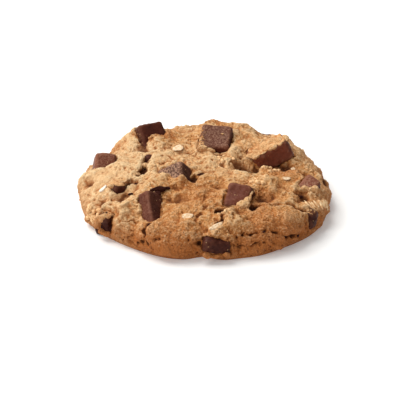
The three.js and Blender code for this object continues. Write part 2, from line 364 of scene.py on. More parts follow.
class Tree:
    """A node tree that is built in code, for shaders and for shape rules."""

    MOUND_LEVEL = 0.2

    def __init__(self, tree: bpy.types.NodeTree) -> None:
        """Empties the tree and takes it over."""
        tree.nodes.clear()
        self.tree = tree

    def node(self, kind: str, settings: Settings | None = None, sockets: Sockets | None = None) -> Node:
        """Adds a node.

        Args:
            kind: The node's type.
            settings: Its own settings, set first.
            sockets: Values or links of its inputs, by name or number.

        Returns:
            The node.
        """
        made = self.tree.nodes.new(kind)
        for name, setting in (settings or {}).items():
            setattr(made, name, setting)
        for name, fed in (sockets or {}).items():
            if isinstance(fed, Value):
                fed = fed.socket
            if isinstance(fed, Socket):
                self.tree.links.new(fed, made.inputs[name])
            else:
                made.inputs[name].default_value = fed
        return made

    def value(self, kind: str, settings: Settings, sockets: Sockets, output: int | str = 0) -> Value:
        """Adds a node and gives one of its outputs as a value."""
        return Value(self, self.node(kind, settings, sockets).outputs[output])

    def vector(self, operation: str, sockets: Sockets) -> Socket:
        """Adds a Vector Math node and gives its vector."""
        return self.node("ShaderNodeVectorMath", {"operation": operation}, sockets).outputs[0]

    def trait(self, trait: Trait) -> Value:
        """A mesh's trait, read by a shader."""
        return self.value("ShaderNodeAttribute", {"attribute_name": trait.value}, {}, "Fac")

    def noise(self, place: Socket, size: float, detail: float = 2.0, rough: float = 0.5) -> Value:
        """Soft noise from 0 to 1 with features of a size in metres."""
        sockets = {"Vector": place, "Scale": 1 / size, "Detail": detail, "Roughness": rough}
        return self.value("ShaderNodeTexNoise", {}, sockets)

    def cells(self, place: Socket, size: float, soft: float = 0.0) -> Value:
        """The way to the nearest of many scattered points.

        Args:
            place: Where it is measured.
            size: The usual gap between the points, in metres.
            soft: How much the ridges between two points are rounded.

        Returns:
            The way in shares of the size.
        """
        sockets = {"Vector": place, "Scale": 1 / size}
        if not soft:
            return self.value("ShaderNodeTexVoronoi", {"feature": "F1"}, sockets)
        return self.value("ShaderNodeTexVoronoi", {"feature": "SMOOTH_F1"}, {**sockets, "Smoothness": soft})

    def dots(self, place: Socket, gap: float, rim: Span, patch: float, levels: Span) -> Value:
        """Scattered dots that keep to patches.

        Args:
            place: Where they are looked for.
            gap: The usual gap between two dots, in metres.
            rim: Where a dot starts and where it is full, in shares of the gap.
            patch: The patches' size, in metres.
            levels: The levels of noise at which a patch starts and is full.

        Returns:
            1 in a dot, 0 elsewhere.
        """
        return self.cells(place, gap).ease(*rim) * self.noise(place, patch).ease(*levels)

    def mounds(self, place: Socket, size: float, soft: float = 0.0) -> Value:
        """Round-topped bumps with creases between them, about 0 on the whole."""
        way = self.cells(place, size, soft)
        return self.MOUND_LEVEL - way * way

    def warped(self, place: Socket, size: float, reach: float) -> Socket:
        """A place pushed about by noise.

        Args:
            place: The place.
            size: The noise's size, in metres.
            reach: Twice the furthest push, in metres.

        Returns:
            The place that it is pushed to.
        """
        sockets = {"Vector": place, "Scale": 1 / size, "Detail": 1.0}
        colour = self.node("ShaderNodeTexNoise", {}, sockets).outputs[1]
        centred = self.vector("SUBTRACT", {0: colour, 1: (0.5, 0.5, 0.5)})
        scaled = self.vector("SCALE", {0: centred, "Scale": reach})
        return self.vector("ADD", {0: place, 1: scaled})

    def blend(self, share: Term, first: Any, second: Any) -> Socket:
        """Mixes two colours: first at share 0, second at share 1."""
        return self.node("ShaderNodeMix", {"data_type": "RGBA"}, {0: share, 6: first, 7: second}).outputs[2]

    def coats(self, colour: Any, *coats: tuple[Term, Any]) -> Socket:
        """Lays coats of colour over each other.

        Args:
            colour: The colour below them all.
            coats: Each coat's share and colour, from below.

        Returns:
            The colour that shows.
        """
        for share, coat in coats:
            colour = self.blend(share, colour, coat)
        return colour


class ShapeRule(Tree):
    """A Geometry Nodes tree with named inputs, which becomes a plain mesh once it has run."""

    SOCKETS = {
        Object: "NodeSocketObject",
        Material: "NodeSocketMaterial",
        int: "NodeSocketInt",
        float: "NodeSocketFloat",
    }

    def __init__(self, name: str, sizes: dict[str, Any]) -> None:
        """Makes an empty rule.

        Args:
            name: What the rule makes.
            sizes: Its named inputs: numbers, objects or materials.
        """
        super().__init__(bpy.data.node_groups.new(name, "GeometryNodeTree"))
        self.sizes = sizes
        face = self.tree.interface
        face.new_socket("Geometry", in_out="INPUT", socket_type="NodeSocketGeometry")
        self.identifiers = {}
        for label, size in sizes.items():
            kind = next(socket for sort, socket in self.SOCKETS.items() if isinstance(size, sort))
            self.identifiers[label] = face.new_socket(label, in_out="INPUT", socket_type=kind).identifier
        face.new_socket("Geometry", in_out="OUTPUT", socket_type="NodeSocketGeometry")
        self.start = self.node("NodeGroupInput")

    def size(self, label: str) -> Value:
        """One of the rule's named inputs."""
        return Value(self, self.start.outputs[label])

    def place(self) -> Socket:
        """The place of each point."""
        return self.node("GeometryNodeInputPosition").outputs[0]

    def shape(self, label: str) -> Socket:
        """The mesh of an object that is one of the rule's named inputs."""
        return self.node("GeometryNodeObjectInfo", {}, {"Object": self.size(label)}).outputs["Geometry"]

    def named(self, trait: Trait, kind: str = "FLOAT") -> Value:
        """A trait of the mesh that the rule works on."""
        return self.value("GeometryNodeInputNamedAttribute", {"data_type": kind}, {"Name": trait.value})

    def finish(self, kind: str, sockets: Sockets) -> None:
        """Ends the rule: what the last node makes is made real and gets its material.

        Args:
            kind: The last node's type.
            sockets: Values or links of its inputs.
        """
        last = self.node(kind, {}, sockets).outputs[0]
        real = self.node("GeometryNodeRealizeInstances", {}, {"Geometry": last}).outputs[0]
        dress = {"Geometry": real, "Material": self.size("Material")}
        dressed = self.node("GeometryNodeSetMaterial", {}, dress).outputs[0]
        self.node("NodeGroupOutput", {}, {"Geometry": dressed})

    def run(self, made: Object) -> Object:
        """Runs the rule on an object and leaves its plain mesh.

        Args:
            made: The object that the rule works on.

        Returns:
            The same object.
        """
        modifier = made.modifiers.new(self.tree.name, "NODES")
        modifier.node_group = self.tree
        for label, identifier in self.identifiers.items():
            modifier[identifier] = self.sizes[label]
        return settle(made)


class Surface(Tree):
    """A material's shader tree, with a Principled shader and the piece's own coordinates."""

    def __init__(self, name: str, constants: dict[str, Any]) -> None:
        """Makes a material.

        Args:
            name: The material's name.
            constants: What is the same all over, set on the shader's own sockets.
        """
        self.material = bpy.data.materials.new(name)
        self.material.use_nodes = True
        super().__init__(self.material.node_tree)
        self.shader = self.node("ShaderNodeBsdfPrincipled", {}, constants)
        self.node("ShaderNodeOutputMaterial", {}, {"Surface": self.shader.outputs[0]})
        self.place = self.node("ShaderNodeTexCoord").outputs["Object"]

    def feed(self, colour: Socket, roughness: Value, relief: Value, depth: float) -> Material:
        """Feeds what varies to the shader.

        Args:
            colour: The colour.
            roughness: How rough it is.
            relief: Its fine relief.
            depth: The depth of that relief, in metres.

        Returns:
            The finished material.
        """
        bump = self.node("ShaderNodeBump", {}, {"Height": relief, "Distance": depth}).outputs[0]
        fed = {"Base Color": colour, "Roughness": roughness.socket, "Normal": bump}
        for name, socket in fed.items():
            self.tree.links.new(socket, self.shader.inputs[name])
        return self.material

    def height(self) -> Value:
        """The height above the base, in metres."""
        return self.value("ShaderNodeSeparateXYZ", {}, {0: self.place}, 2)


@dataclass(frozen=True)
class DoughFinish:
    """Baked oat dough: golden, brown towards the base, with a painted cream highlight on up-facing crests and
    painted shade in creases, hollows and pits. Sizes in metres.
    """

    pale: Colour = srgb(239, 195, 143)
    gold: Colour = srgb(220, 158, 95)
    brown: Colour = srgb(186, 111, 55)
    # Near-black for painted shade in deep creases, hollows, cracks and dark holes.
    deep: Colour = srgb(80, 42, 22)
    bran: Colour = srgb(130, 75, 40)
    # Cream for real pale dust and specks, and for the painted highlight on crests.
    cream: Colour = srgb(250, 218, 171)
    shine: float = 0.12
    brown_below: float = 3.5 * MM
    gold_above: float = 13.5 * MM
    dim_below: float = 4 * MM
    lit_above: float = 11 * MM
    patch_size: float = 13 * MM
    blotch_size: float = 2.4 * MM
    grain_size: float = 1.6 * MM
    dust_size: float = 0.7 * MM
    fleck_gap: float = 2.6 * MM
    fleck_patch: float = 6 * MM
    pepper_gap: float = 1.5 * MM
    pepper_patch: float = 5 * MM
    speck_gap: float = 3.4 * MM
    speck_warp: Span = (3 * MM, 2 * MM)
    pore_size: float = 0.7 * MM
    crumb_size: float = 0.45 * MM
    relief_depth: float = 0.75 * MM

    def material(self) -> Material:
        """Builds the material, which reads the toast, crease, hollow, pit and up traits.

        Returns:
            The dough's material.
        """
        surface = Surface("oat_dough", {"Specular IOR Level": self.shine})
        place = surface.place
        toast = surface.trait(Trait.TOAST)
        crease = surface.trait(Trait.CREASE)
        hollow = surface.trait(Trait.HOLLOW)
        facing = surface.trait(Trait.UP).ease(0.3, 0.85)
        lit = surface.height().ease(self.dim_below, self.lit_above)
        patches = surface.noise(place, self.patch_size, 3.0)
        blotches = surface.noise(place, self.blotch_size, 4.0, 0.7)
        grain = surface.noise(place, self.grain_size, 3.0, 0.65)
        dust = surface.noise(place, self.dust_size, 2.0, 0.65)
        bake = surface.height().ease(self.gold_above, self.brown_below)
        bake = bake * (0.7 + patches * 0.6) * (0.4 + toast * 1.1)
        # Painted highlight: cream on crests, most where they stand high and face upwards towards the light.
        crest = (-crease).ease(0.02, 0.24) * (0.1 + lit * facing * 0.6) * (1.0 - toast * 0.9)
        flecks = surface.dots(place, self.fleck_gap, (0.16, 0.1), self.fleck_patch, (0.5, 0.62))
        pepper = surface.dots(place, self.pepper_gap, (0.32, 0.16), self.pepper_patch, (0.38, 0.56))
        specks = surface.cells(surface.warped(place, *self.speck_warp), self.speck_gap).ease(0.14, 0.08)
        # The toast trait is real toasting, and next to some chunks painted cast shadow.
        colour = surface.coats(
            self.pale,
            ((patches * 0.5 + toast).ease(0.3, 0.9), self.gold),
            (bake, self.brown),
            (toast.ease(0.4, 1.1) * 0.7, self.brown),
            (grain.ease(0.5, 0.75) * 0.5, self.brown),
            (dust.ease(0.5, 0.64) * (0.28 + toast * 0.4), self.bran),
            (blotches.ease(0.46, 0.7) * bake * 0.3, self.bran),
            # Steep sides browner: partly real browning, partly painted shade on faces turned from the light.
            ((1.0 - facing) * (0.12 + toast * 0.45), self.brown),
            # Real pale dust, faded out low down as painted shade.
            (dust.ease(0.5, 0.32) * lit * 0.32, self.cream),
            # Painted highlight on the crests.
            (crest, self.cream),
            # Painted shade: brown and near-black in creases, hollows, cracks and dark holes.
            (crease.ease(0.0, 0.26) * 0.75, self.brown),
            (crease.ease(0.25, 0.7) * 0.85, self.deep),
            (hollow.ease(0.0, 0.7) * 0.45, self.brown),
            (hollow.ease(0.15, 1.1) * 0.75, self.deep),
            (surface.trait(Trait.PIT).ease(0.8, 1.9) * 0.9, self.deep),
            (flecks * 0.6, self.bran),
            (pepper * (0.16 + toast * 0.5 + bake * 0.3), self.bran),
            # Real pale specks, stronger high up where lit: partly painted highlight.
            (specks * (0.12 + lit * 0.33), self.cream),
        )
        pores = surface.cells(place, self.pore_size, 0.3)
        relief = pores * 0.6 + surface.noise(place, self.crumb_size, 4.0, 0.7)
        return surface.feed(colour, 0.62 + grain * 0.26, relief, self.relief_depth)


@dataclass(frozen=True)
class ChocolateFinish:
    """Dark chocolate: satin, bloomed and given a painted highlight on upper faces, painted darker on faces
    turned from the light, smeared with dough here and there. Sizes in metres.
    """

    dark: Colour = srgb(56, 25, 19)
    warm: Colour = srgb(129, 69, 50)
    bloom: Colour = srgb(176, 139, 113)
    # Lighter brown for the painted highlight along edges.
    edge: Colour = srgb(138, 90, 68)
    dough: Colour = srgb(222, 174, 122)
    baked: Colour = srgb(176, 112, 62)
    shine: float = 0.07
    cloud_size: float = 4 * MM
    dust_size: float = 0.65 * MM
    rag_size: float = 0.9 * MM
    grain_size: float = 1.6 * MM
    crumb_gap: float = 1.7 * MM
    crumb_patch: float = 5 * MM
    relief_depth: float = 0.3 * MM

    def material(self) -> Material:
        """Builds the material, which reads the warm, bloom, smear and crease traits.

        Returns:
            The chocolate's material.
        """
        surface = Surface("dark_chocolate", {"Specular IOR Level": self.shine})
        place = surface.place
        warm = surface.trait(Trait.WARM)
        smear = surface.trait(Trait.SMEAR)
        clouds = surface.noise(place, self.cloud_size, 3.0)
        dust = surface.noise(place, self.dust_size, 3.0, 0.7)
        # Real bloomed speckle with a painted highlight, on faces turned up to the light.
        bloomed_and_lit = surface.trait(Trait.BLOOM) * (0.1 + 0.9 * dust.ease(0.44, 0.6)) * (0.4 + 0.7 * clouds)
        # Painted highlight along the chunk's edges.
        edges = (-surface.trait(Trait.CREASE)).ease(0.05, 0.25)
        ragged = smear + (surface.noise(place, self.rag_size, 4.0, 0.75) - 0.5) * 1.5
        film = ragged.ease(0.35, 0.55) * smear.ease(0.02, 0.2)
        grain = surface.noise(place, self.grain_size, 3.0, 0.65).ease(0.4, 0.65)
        crumbs = surface.dots(place, self.crumb_gap, (0.17, 0.1), self.crumb_patch, (0.52, 0.6))
        colour = surface.coats(
            self.dark,
            # The warm trait is dimmed on faces turned away from the light, a painted shade.
            (warm + (clouds - 0.5) * 0.4 + (dust - 0.5) * 0.5, self.warm),
            (bloomed_and_lit, self.bloom),
            (edges * (0.12 + warm * 0.8), self.edge),
            (film * 0.9, surface.blend(grain, self.dough, self.baked)),
            (crumbs * 0.6, self.dough),
        )
        rough = 0.46 + bloomed_and_lit * 0.3 + film * 0.3
        relief = dust * 0.35 + clouds * 0.5 + film * 0.8 + crumbs
        return surface.feed(colour, rough, relief, self.relief_depth)


@dataclass(frozen=True)
class OatFinish:
    """Rolled oats or pale torn dough: cream, with fine browner streaks and, where marked, a painted glint
    that whitens it. Sizes in metres.
    """

    name: str = "rolled_oat"
    cream: Colour = srgb(234, 209, 176)
    straw: Colour = srgb(206, 164, 118)
    glint_white: Colour = srgb(253, 247, 236)
    shine: float = 0.25
    streak_size: float = 0.9 * MM
    relief_depth: float = 0.2 * MM

    def material(self) -> Material:
        """Builds the material, which reads the painted glint trait.

        Returns:
            The material.
        """
        surface = Surface(self.name, {"Specular IOR Level": self.shine})
        streaks = surface.noise(surface.place, self.streak_size, 3.0, 0.65)
        colour = surface.coats(
            self.cream,
            (streaks.ease(0.4, 0.68), self.straw),
            # Painted glint: whitens a flake as if it caught the light.
            (surface.trait(Trait.PALE), self.glint_white),
        )
        return surface.feed(colour, 0.55 + streaks * 0.2, streaks, self.relief_depth)


ROLLED_OAT = OatFinish()
TORN_DOUGH = OatFinish("torn_dough", srgb(252, 222, 176), srgb(212, 158, 102))
CRUMBLY_DOUGH = OatFinish("crumbly_dough", srgb(240, 198, 146), srgb(192, 136, 82))


@dataclass(frozen=True)
class FloorFinish:
    """A plain pale table that glows faintly with painted light, so that shadows on it stay soft."""

    pale: Colour = srgb(238, 238, 237)
    painted_glow: float = 0.18
    rough: float = 0.7
    shine: float = 0.2

    def material(self) -> Material:
        """Builds the plain material.

        Returns:
            The table's material.
        """
        constants = {
            "Base Color": self.pale,
            "Roughness": self.rough,
            "Specular IOR Level": self.shine,
            "Emission Color": self.pale,
            # Painted light: the table glows faintly, which lifts the shadows on it.
            "Emission Strength": self.painted_glow,
        }
        return Surface("pale_table", constants).material


@dataclass(frozen=True)
class Lobe:
    """A bulge or notch of the plan outline: bearing and spread in degrees, mm out."""

    bearing: float
    spread: float
    out: float


@dataclass(frozen=True)
class Rise:
    """A mound, or a hollow where the height is negative: bearing in degrees, the rest in mm."""

    bearing: float
    reach: float
    radius: float
    height: float


@dataclass(frozen=True)
class Crack:
    """A crack along points of (bearing, reach), with its width and depth in mm."""

    width: float
    depth: float
    run: tuple[Span, ...]


@dataclass(frozen=True)
class Ridge:
    """A ridge of crust along a chunk, or a gap if its height is negative: part even, part ragged. In mm."""

    height: float
    even: float
    ragged: float
    middle: float
    width: float


@dataclass(frozen=True)
class Dab:
    """A dab of dough on or by a chunk: middle and half sizes in mm, turn and rise along it in degrees."""

    middle: Point
    half: Point
    turn: float = 0.0
    rise: float = 0.0


@dataclass(frozen=True)
class ChunkLook:
    """How one chunk shows.

    Its node, how much bloomed speckle and painted highlight its upper faces take, and how light a brown it
    is; where dough clings to it, from where and how much;
    how rugged and how worn it is, and the mm that it regains from the wear.
    """

    node: str
    bloom: float
    warm: float
    cling: Cling = Cling.NOWHERE
    way: Point = (0, 0, 1)
    start: float = 0.5
    cover: float = 1.0
    rugged: float = 1.0
    wear: int = 3
    regain: float = 0.18


@dataclass(frozen=True)
class Lay:
    """Where something lies on the crust, in degrees and mm, with its size and how much it is whitened by a
    painted glint.
    """

    bearing: float
    reach: float
    turn: float = 0.0
    size: Point = (1, 1, 1)
    pale: float = 0.0


@dataclass(frozen=True)
class TornBand:
    """Torn strands of dough side by side, in degrees and mm. A span is a least value and what chance adds."""

    count: int = 13
    bearing: Span = (-33, 0.8)
    bearing_step: float = 1.0
    reach: Span = (42.6, 1.6)
    reach_step: float = 0.45
    turn: Span = (-52, 24)
    length: Span = (1.3, 1.2)
    width: Span = (0.2, 0.14)
    thickness: float = 0.4

    def lay(self, k: int) -> Lay:
        """Where the strand of a number lies.

        Args:
            k: The strand's number.

        Returns:
            Where it lies and its size.
        """
        bearing = self.bearing[0] + self.bearing_step * k + self.bearing[1] * scatter(k + 80)
        reach = self.reach[0] + self.reach_step * k + self.reach[1] * scatter(k + 60)
        turn = self.turn[0] + self.turn[1] * scatter(k + 70)
        length = self.length[0] + self.length[1] * scatter(k)
        width = self.width[0] + self.width[1] * scatter(k + 90)
        return Lay(bearing, reach, turn, (length, width, self.thickness))

    def lays(self) -> tuple[Lay, ...]:
        """Where all the strands lie."""
        return tuple(self.lay(k) for k in range(self.count))


@dataclass(frozen=True)
class Cluster:
    """A crumbly cluster of nuggets: bearing in degrees, reach and spread in mm, how many and how large."""

    bearing: float
    reach: float
    spread: float
    count: int
    size: float
    seed_step: float = 3.7
    least_share: float = 0.6
    more_share: float = 0.8
    shape: Point = (1.3, 1.0, 0.8)

    def lay(self, k: int) -> Lay:
        """Where the nugget of a number lies.

        Args:
            k: The nugget's number.

        Returns:
            Where it lies and its size.
        """
        seed = self.bearing + self.seed_step * k
        away = self.spread * math.sqrt(scatter(seed))
        turn = math.tau * scatter(seed + 100)
        bearing = self.bearing + math.degrees(away * math.cos(turn) / self.reach)
        reach = self.reach + away * math.sin(turn)
        size = self.size * (self.least_share + self.more_share * scatter(seed + 200))
        return Lay(bearing, reach, math.degrees(turn), tuple(size * part for part in self.shape))

    def lays(self) -> tuple[Lay, ...]:
        """Where all the nuggets lie."""
        return tuple(self.lay(k) for k in range(self.count))


# The outline's bulges and notches, which are the solid's own.
LOBES = rows(
    Lobe,
    (-34, 22, 2.4), (-66, 12, 1.6), (-80, 5, 0.8), (-91, 5, -1.8), (-106, 14, 1.2), (-150, 14, 0.7),
    (142, 18, -3.4), (106, 10, -2.2), (55, 10, -2.8), (18, 14, -2.8),
)

# The crust's mounds and hollows, which are the solid's own.
MOUNDS = rows(
    Rise,
    (136, 26, 4.4, 3.6), (152, 27.5, 3.4, -2.2), (108, 37, 7, -2.8), (97, 38, 5, -1.8),
    (86, 37, 5, 1.8), (64, 39, 4.5, 1.2), (51, 37.5, 4.5, -2.6), (42, 39, 5, 1.2), (56, 26, 7, 2.2),
    (27, 30, 6, 2.4), (12, 36, 3.6, 1.6), (5, 26.5, 3.8, -3.4), (-6, 26.5, 3.5, -1.2),
    (-4, 20.5, 3, -1.2), (29, 12.9, 3, 2.2), (37, 19.5, 3.2, 2), (33, 25, 3.2, 1.4),
    (56, 10, 3.4, -1.8), (-11, 16, 3.6, -3.4), (-3, 13, 2.8, -2), (-5, 19.2, 2.8, -1.6),
    (0, 9.2, 2.6, 1.4), (-30, 14.6, 2.6, 1.2), (-24, 18.8, 2.6, 1.2), (-13, 21.5, 2.6, 1.2),
    (-138, 19.5, 2.8, 1.2), (-118, 17.6, 2.8, 1.4), (-140, 23, 4.5, 1), (-110, 24.5, 6, -1.2),
    (-144, 36.7, 3, -1.8), (-135, 38, 5, 1.6), (-118, 38, 4.2, -2.6), (-131, 46, 5, 1),
    (-108, 48.5, 9, 1.8), (-82, 42, 4.5, 1.2), (-99, 40, 4, 1.2), (-73, 42, 5.5, 1.6),
    (-54, 41.5, 7, 2.4), (-44, 45.5, 6, 2), (-58, 51, 6, 0.8), (-27, 39.5, 2.6, -2),
    (-24, 40.5, 2.4, 1.9), (-19, 42.3, 2.4, 1.9), (-172, 44, 2.6, -2.2), (171, 43, 6, -1.4),
    (150, 44, 6, -1.6), (-178, 44, 3, 1), (-172, 28, 8, 0.8), (-150, 48.1, 2, 1.3),
    (-145, 48.2, 2, 1.3), (-146, 45.6, 2, 0.9), (-153, 47.4, 1.8, 0.8), (-139.5, 49.5, 2.6, -2.2),
)

# Hollows, pits and knobs that are finer than the solid's own.
FINE_RISES = rows(
    Rise,
    (-73, 31, 3.2, -1.8), (-108, 14, 1.7, -2.6), (-152, 28, 1.0, -1.8), (-80, 33.5, 1.3, -2.4),
    (-60, 34.5, 1.4, -2.0), (-117, 43.5, 1.1, -2.2), (-27, 39.5, 2.4, 1.2), (-8, 16.5, 3.2, -1.6),
    (-16, 18.5, 1.8, -1.4), (179, 40, 3.0, 1.0), (-53, 49.5, 0.8, -1.2), (-45, 51.5, 0.8, -1.2),
    (-26, 45.5, 2.6, 0.8), (-36, 48.5, 2.2, -1.2), (122, 28, 2.2, 1.4), (-152, 17.5, 2.5, -1.0),
    (-130, 18.8, 2.2, 0.2), (-128, 36.8, 2.5, 0.9), (30, 12.5, 3.0, 0.7), (-118, 17.8, 2.0, 1.0),
    (-111, 48, 0.7, -1.6), (-109.5, 47.5, 0.6, -1.5), (-73, 41, 4.0, 1.0), (-16, 52, 4.0, -0.6),
    (-11, 21.5, 2.2, 1.2), (-9, 25, 2.2, 1.2), (138, 38, 4.5, 2.6), (147, 29, 2.2, -1.0),
    (5, 47.5, 3.0, -1.2), (-3, 46.4, 2.4, -2.6), (-5, 50.2, 4.5, 1.0), (2, 31.2, 3.0, -1.8),
    (42, 31.5, 1.1, 1.2), (38, 31.8, 1.0, 1.2), (45, 33, 1.0, 1.0), (-40, 47.5, 1.8, -1.0),
    (117, 39, 4.0, 1.2), (-50, 31.5, 2.8, -1.6), (168, 47.3, 3.0, -1.0), (139, 44.5, 6, 1.1),
    (64, 42, 4.5, 1.6), (47, 36.5, 3.8, -1.5), (-114.5, 25.8, 2.0, 1.0), (-73.5, 16.4, 2.0, 1.0),
    (90.5, 33.8, 2.6, 1.1), (83.5, 33.8, 1.6, -0.5),
)

# Cracks from the crown to the rim.
CRACKS = rows(
    Crack,
    (0.7, 2.0, ((-62, 35.3), (-58, 34.7), (-53, 35.6), (-48, 38), (-44, 39), (-40, 41.2), (-38, 44.7))),
    (0.5, 2.2, ((-72, 45.7), (-66, 45.2), (-58, 47.2), (-53, 49.5), (-45, 51.4))),
    (0.8, 1.4, ((-79, 35), (-80, 39), (-85, 43.5))),
    (1.0, 2.2, ((169, 22), (-162, 23), (-158, 28), (-153, 31))),
    (0.4, 1.9, ((-118, 44.5), (-116, 47.4), (-117, 48.8))),
    (0.3, 1.6, ((-116.6, 48.4), (-119.5, 51.4))), (0.8, 2.0, ((-110, 13.5), (-92, 9))),
    (0.6, 0.9, ((-88, 31), (-92, 36), (-97, 44))),
    (0.45, 1.2, ((-131, 49), (-129, 51), (-124, 52.4), (-119, 52.8))),
    (0.45, 1.4, ((-97, 47), (-92, 48.5), (-90, 46.5))), (0.45, 1.4, ((-92, 48.5), (-93, 53))),
    (0.4, 1.2, ((-115, 49), (-112, 50.6), (-112, 52.5))),
    (0.4, 1.2, ((-76, 52), (-73, 49.5), (-64, 49.4), (-60, 50.5))),
)

# Where the crust is more, or less, craggy than elsewhere: the height is the share added.
CRAG_FIELDS = rows(
    Rise,
    (10, 20, 8, 0.2), (30, 12.5, 4.5, -0.4), (-5, 24.5, 6, 0.4), (-158, 26, 7, 0.4), (-146, 47, 7, 0.6),
    (-24, 41, 7, 0.35), (-80, 36, 7, 0.15), (-108, 48, 10, -0.18), (-52, 43, 9, -0.28),
    (-168, 36, 12, -0.4), (-148, 34, 6, -0.2), (-15, 32, 8, -0.3), (-128, 50, 9, 0.3),
    (-60, 53, 8, 0.25), (-8, 50, 7, -0.3), (-105, 28, 8, -0.3), (150, 28, 8, 0.2), (108, 22, 8, 0.15),
    (62, 31, 8, 0.15),
)

# Where the crust's lumps are calmer than elsewhere: the height is the share taken off.
CALM_FIELDS = rows(
    Rise,
    (-157, 40, 9, 0.75), (-172, 31, 9, 0.5), (-8, 50, 8, 0.7),
)

# Where the crust is browner, or paler, than elsewhere: the height is the share added. Most is real toasting;
# some patches next to chunks are painted cast shadow.
TOAST_AND_SHADOW_FIELDS = rows(
    Rise,
    (-95, 22, 13, 0.5), (-60, 44, 14, 0.7), (-73, 41, 5, -0.2), (-49, 32, 5, 0.8), (-108, 48, 13, 0.6),
    (-10, 30, 9, 0.55), (12, 24, 6, 0.5), (-170, 36, 14, -0.35), (-168, 49, 11, -0.3),
    (150, 26, 10, -0.3), (-20, 8, 9, -0.15), (50, 28, 10, 0.1), (90, 20, 10, 0.2), (130, 26, 4.5, 0.9),
    (-3, 30.5, 4, 0.4), (41, 32, 3, 0.6), (-139, 48.7, 4, 0.5), (83, 36, 4.5, 0.6),
    (-130, 50, 7, -0.25), (-74, 40.5, 4.5, -0.1), (-50, 38, 4, -0.25), (126, 28, 3.5, 0.7),
)

# A narrow gap next to each chunk, and a ragged lip beyond it.
RIDGES = rows(
    Ridge,
    (-0.55, 0.8, 0.8, 0.1, 0.35), (0.45, 0.6, 1.5, 1.2, 0.8),
)

# Dough that laps over the long slab, the sloping chunk, the small ones and those in the rim.
DABS = rows(
    Dab,
    ((14.2, -29.6, 14.0), (2.8, 2.2, 1.4), 20), ((16.0, -26.8, 15.0), (1.4, 2.4, 1.0), -20),
    ((17.2, -23.8, 15.8), (0.8, 2.0, 0.7), -10), ((18.6, 4.9, 16.8), (3.4, 2.9, 0.8), 21, 22),
    ((23.0, 6.7, 18.8), (3.6, 2.9, 0.8), 21, 22), ((26.8, 8.1, 20.2), (2.6, 2.4, 0.8), 21, 22),
    ((19.4, 1.9, 16.7), (1.8, 0.9, 0.6), 21, 22), ((22.3, 2.9, 17.9), (1.4, 0.8, 0.5), 25, 22),
    ((25.4, 4.1, 19.2), (1.9, 0.9, 0.6), 18, 22), ((28.3, 5.3, 20.3), (1.1, 0.7, 0.5), 21, 22),
    ((30.4, 9.2, 20.5), (1.3, 2.4, 1.1), 21, 22), ((-23.9, -24.6, 14.0), (1.3, 2.0, 1.2)),
    ((-30.7, -13.9, 15.1), (3.6, 2.1, 0.65), 30), ((1.6, -41.6, 8.9), (2.2, 1.6, 0.8)),
    ((5.2, -41.2, 8.7), (2.4, 1.7, 0.8)), ((8.4, -42.0, 8.5), (1.8, 1.8, 0.9)),
    ((1.4, -46.8, 3.2), (2.0, 1.0, 1.1)), ((4.8, -47.0, 3.0), (2.2, 1.0, 1.2)),
    ((8.0, -46.6, 3.4), (1.8, 1.1, 1.3)), ((-37.8, -28.4, 6.4), (1.6, 1.5, 2.6)),
    ((-35.0, -29.4, 9.2), (2.4, 1.8, 1.1)), ((-36.6, -29.8, 3.0), (1.7, 1.3, 1.4)),
    ((-34.8, -31.0, 2.9), (1.8, 1.1, 1.1)), ((-36.4, -29.8, 8.2), (1.2, 1.1, 1.0)),
    ((37.0, -15.0, 12.3), (1.6, 1.6, 1.6)), ((40.6, -14.8, 12.0), (2.0, 1.7, 1.7)),
    ((-0.4, 9.4, 15.8), (2.2, 1.2, 1.8)), ((2.6, 9.0, 15.3), (1.9, 1.0, 1.4)),
    ((7.0, 15.5, 19.1), (0.8, 0.6, 0.5)), ((-21.6, 0.6, 13.6), (1.5, 1.7, 1.2)),
    ((-33.5, -15.8, 14.3), (1.6, 1.5, 0.9)),
)

# Oat flakes: six on the crust, then three on the rear wall.
FLAKE_LAYS = rows(
    Lay,
    # The second flake is whitened by a painted glint.
    (132, 15.5, 72, (1.3, 1.45, 1)), (-157.5, 39.6, 50, (0.95, 0.55, 2.2), 0.75),
    (-99, 37.2, 5, (1.0, 1.15, 1)), (-84, 42.3, 35, (1.4, 0.72, 1.5)), (-21, 31.2, 15, (0.8, 0.8, 0.8)),
    (-4, 33, 70, (0.5, 0.65, 1.4)), (76, 49, 40), (128, 48.5, 110), (34, 50, 60),
)

# Slivers and bits of chocolate in the dough.
BIT_LAYS = rows(
    Lay,
    (-129, 26.6, 8, (3.9, 1.2, 1.5)), (-124, 23.8, -15, (1.5, 0.6, 0.7)),
    (-127, 28.8, 20, (2.2, 1.5, 1.2)), (-142, 47.2, 60, (1.9, 1.0, 0.9)),
    (-142, 33.8, 5, (1.3, 0.5, 0.6)), (-162, 23, 80, (1.3, 0.7, 0.8)), (-108, 14, 70, (1.3, 1.0, 0.8)),
    (-97, 11, 25, (1.6, 0.4, 0.5)), (-80, 33.6, 20, (1.0, 0.7, 0.6)), (-60, 34.7, 10, (1.3, 0.7, 0.7)),
    (-144.5, 54.2, -56, (2.8, 0.8, 1.2)), (-117, 43.5, 60, (0.9, 0.6, 0.6)),
    (-28, 39, 0, (0.9, 0.7, 0.6)), (-152, 28, 0, (0.6, 0.5, 0.5)), (-53, 49.5, 10, (0.8, 0.4, 0.4)),
    (-46, 51.3, 30, (0.8, 0.5, 0.5)), (-63, 46, 10, (0.6, 0.3, 0.4)),
)

# Crumbly clusters at the left rim, next to chunks and on the crown.
CLUSTERS = rows(
    Cluster,
    (-149, 49, 3.0, 14, 1.0), (-144.5, 48.8, 1.8, 8, 0.9), (-5, 24.5, 4.2, 14, 0.8),
    (-34, 23.5, 3.0, 9, 0.8), (5, 8, 4.0, 9, 0.8), (-79, 35.4, 1.6, 5, 0.6), (39, 29.5, 1.5, 4, 0.7),
)

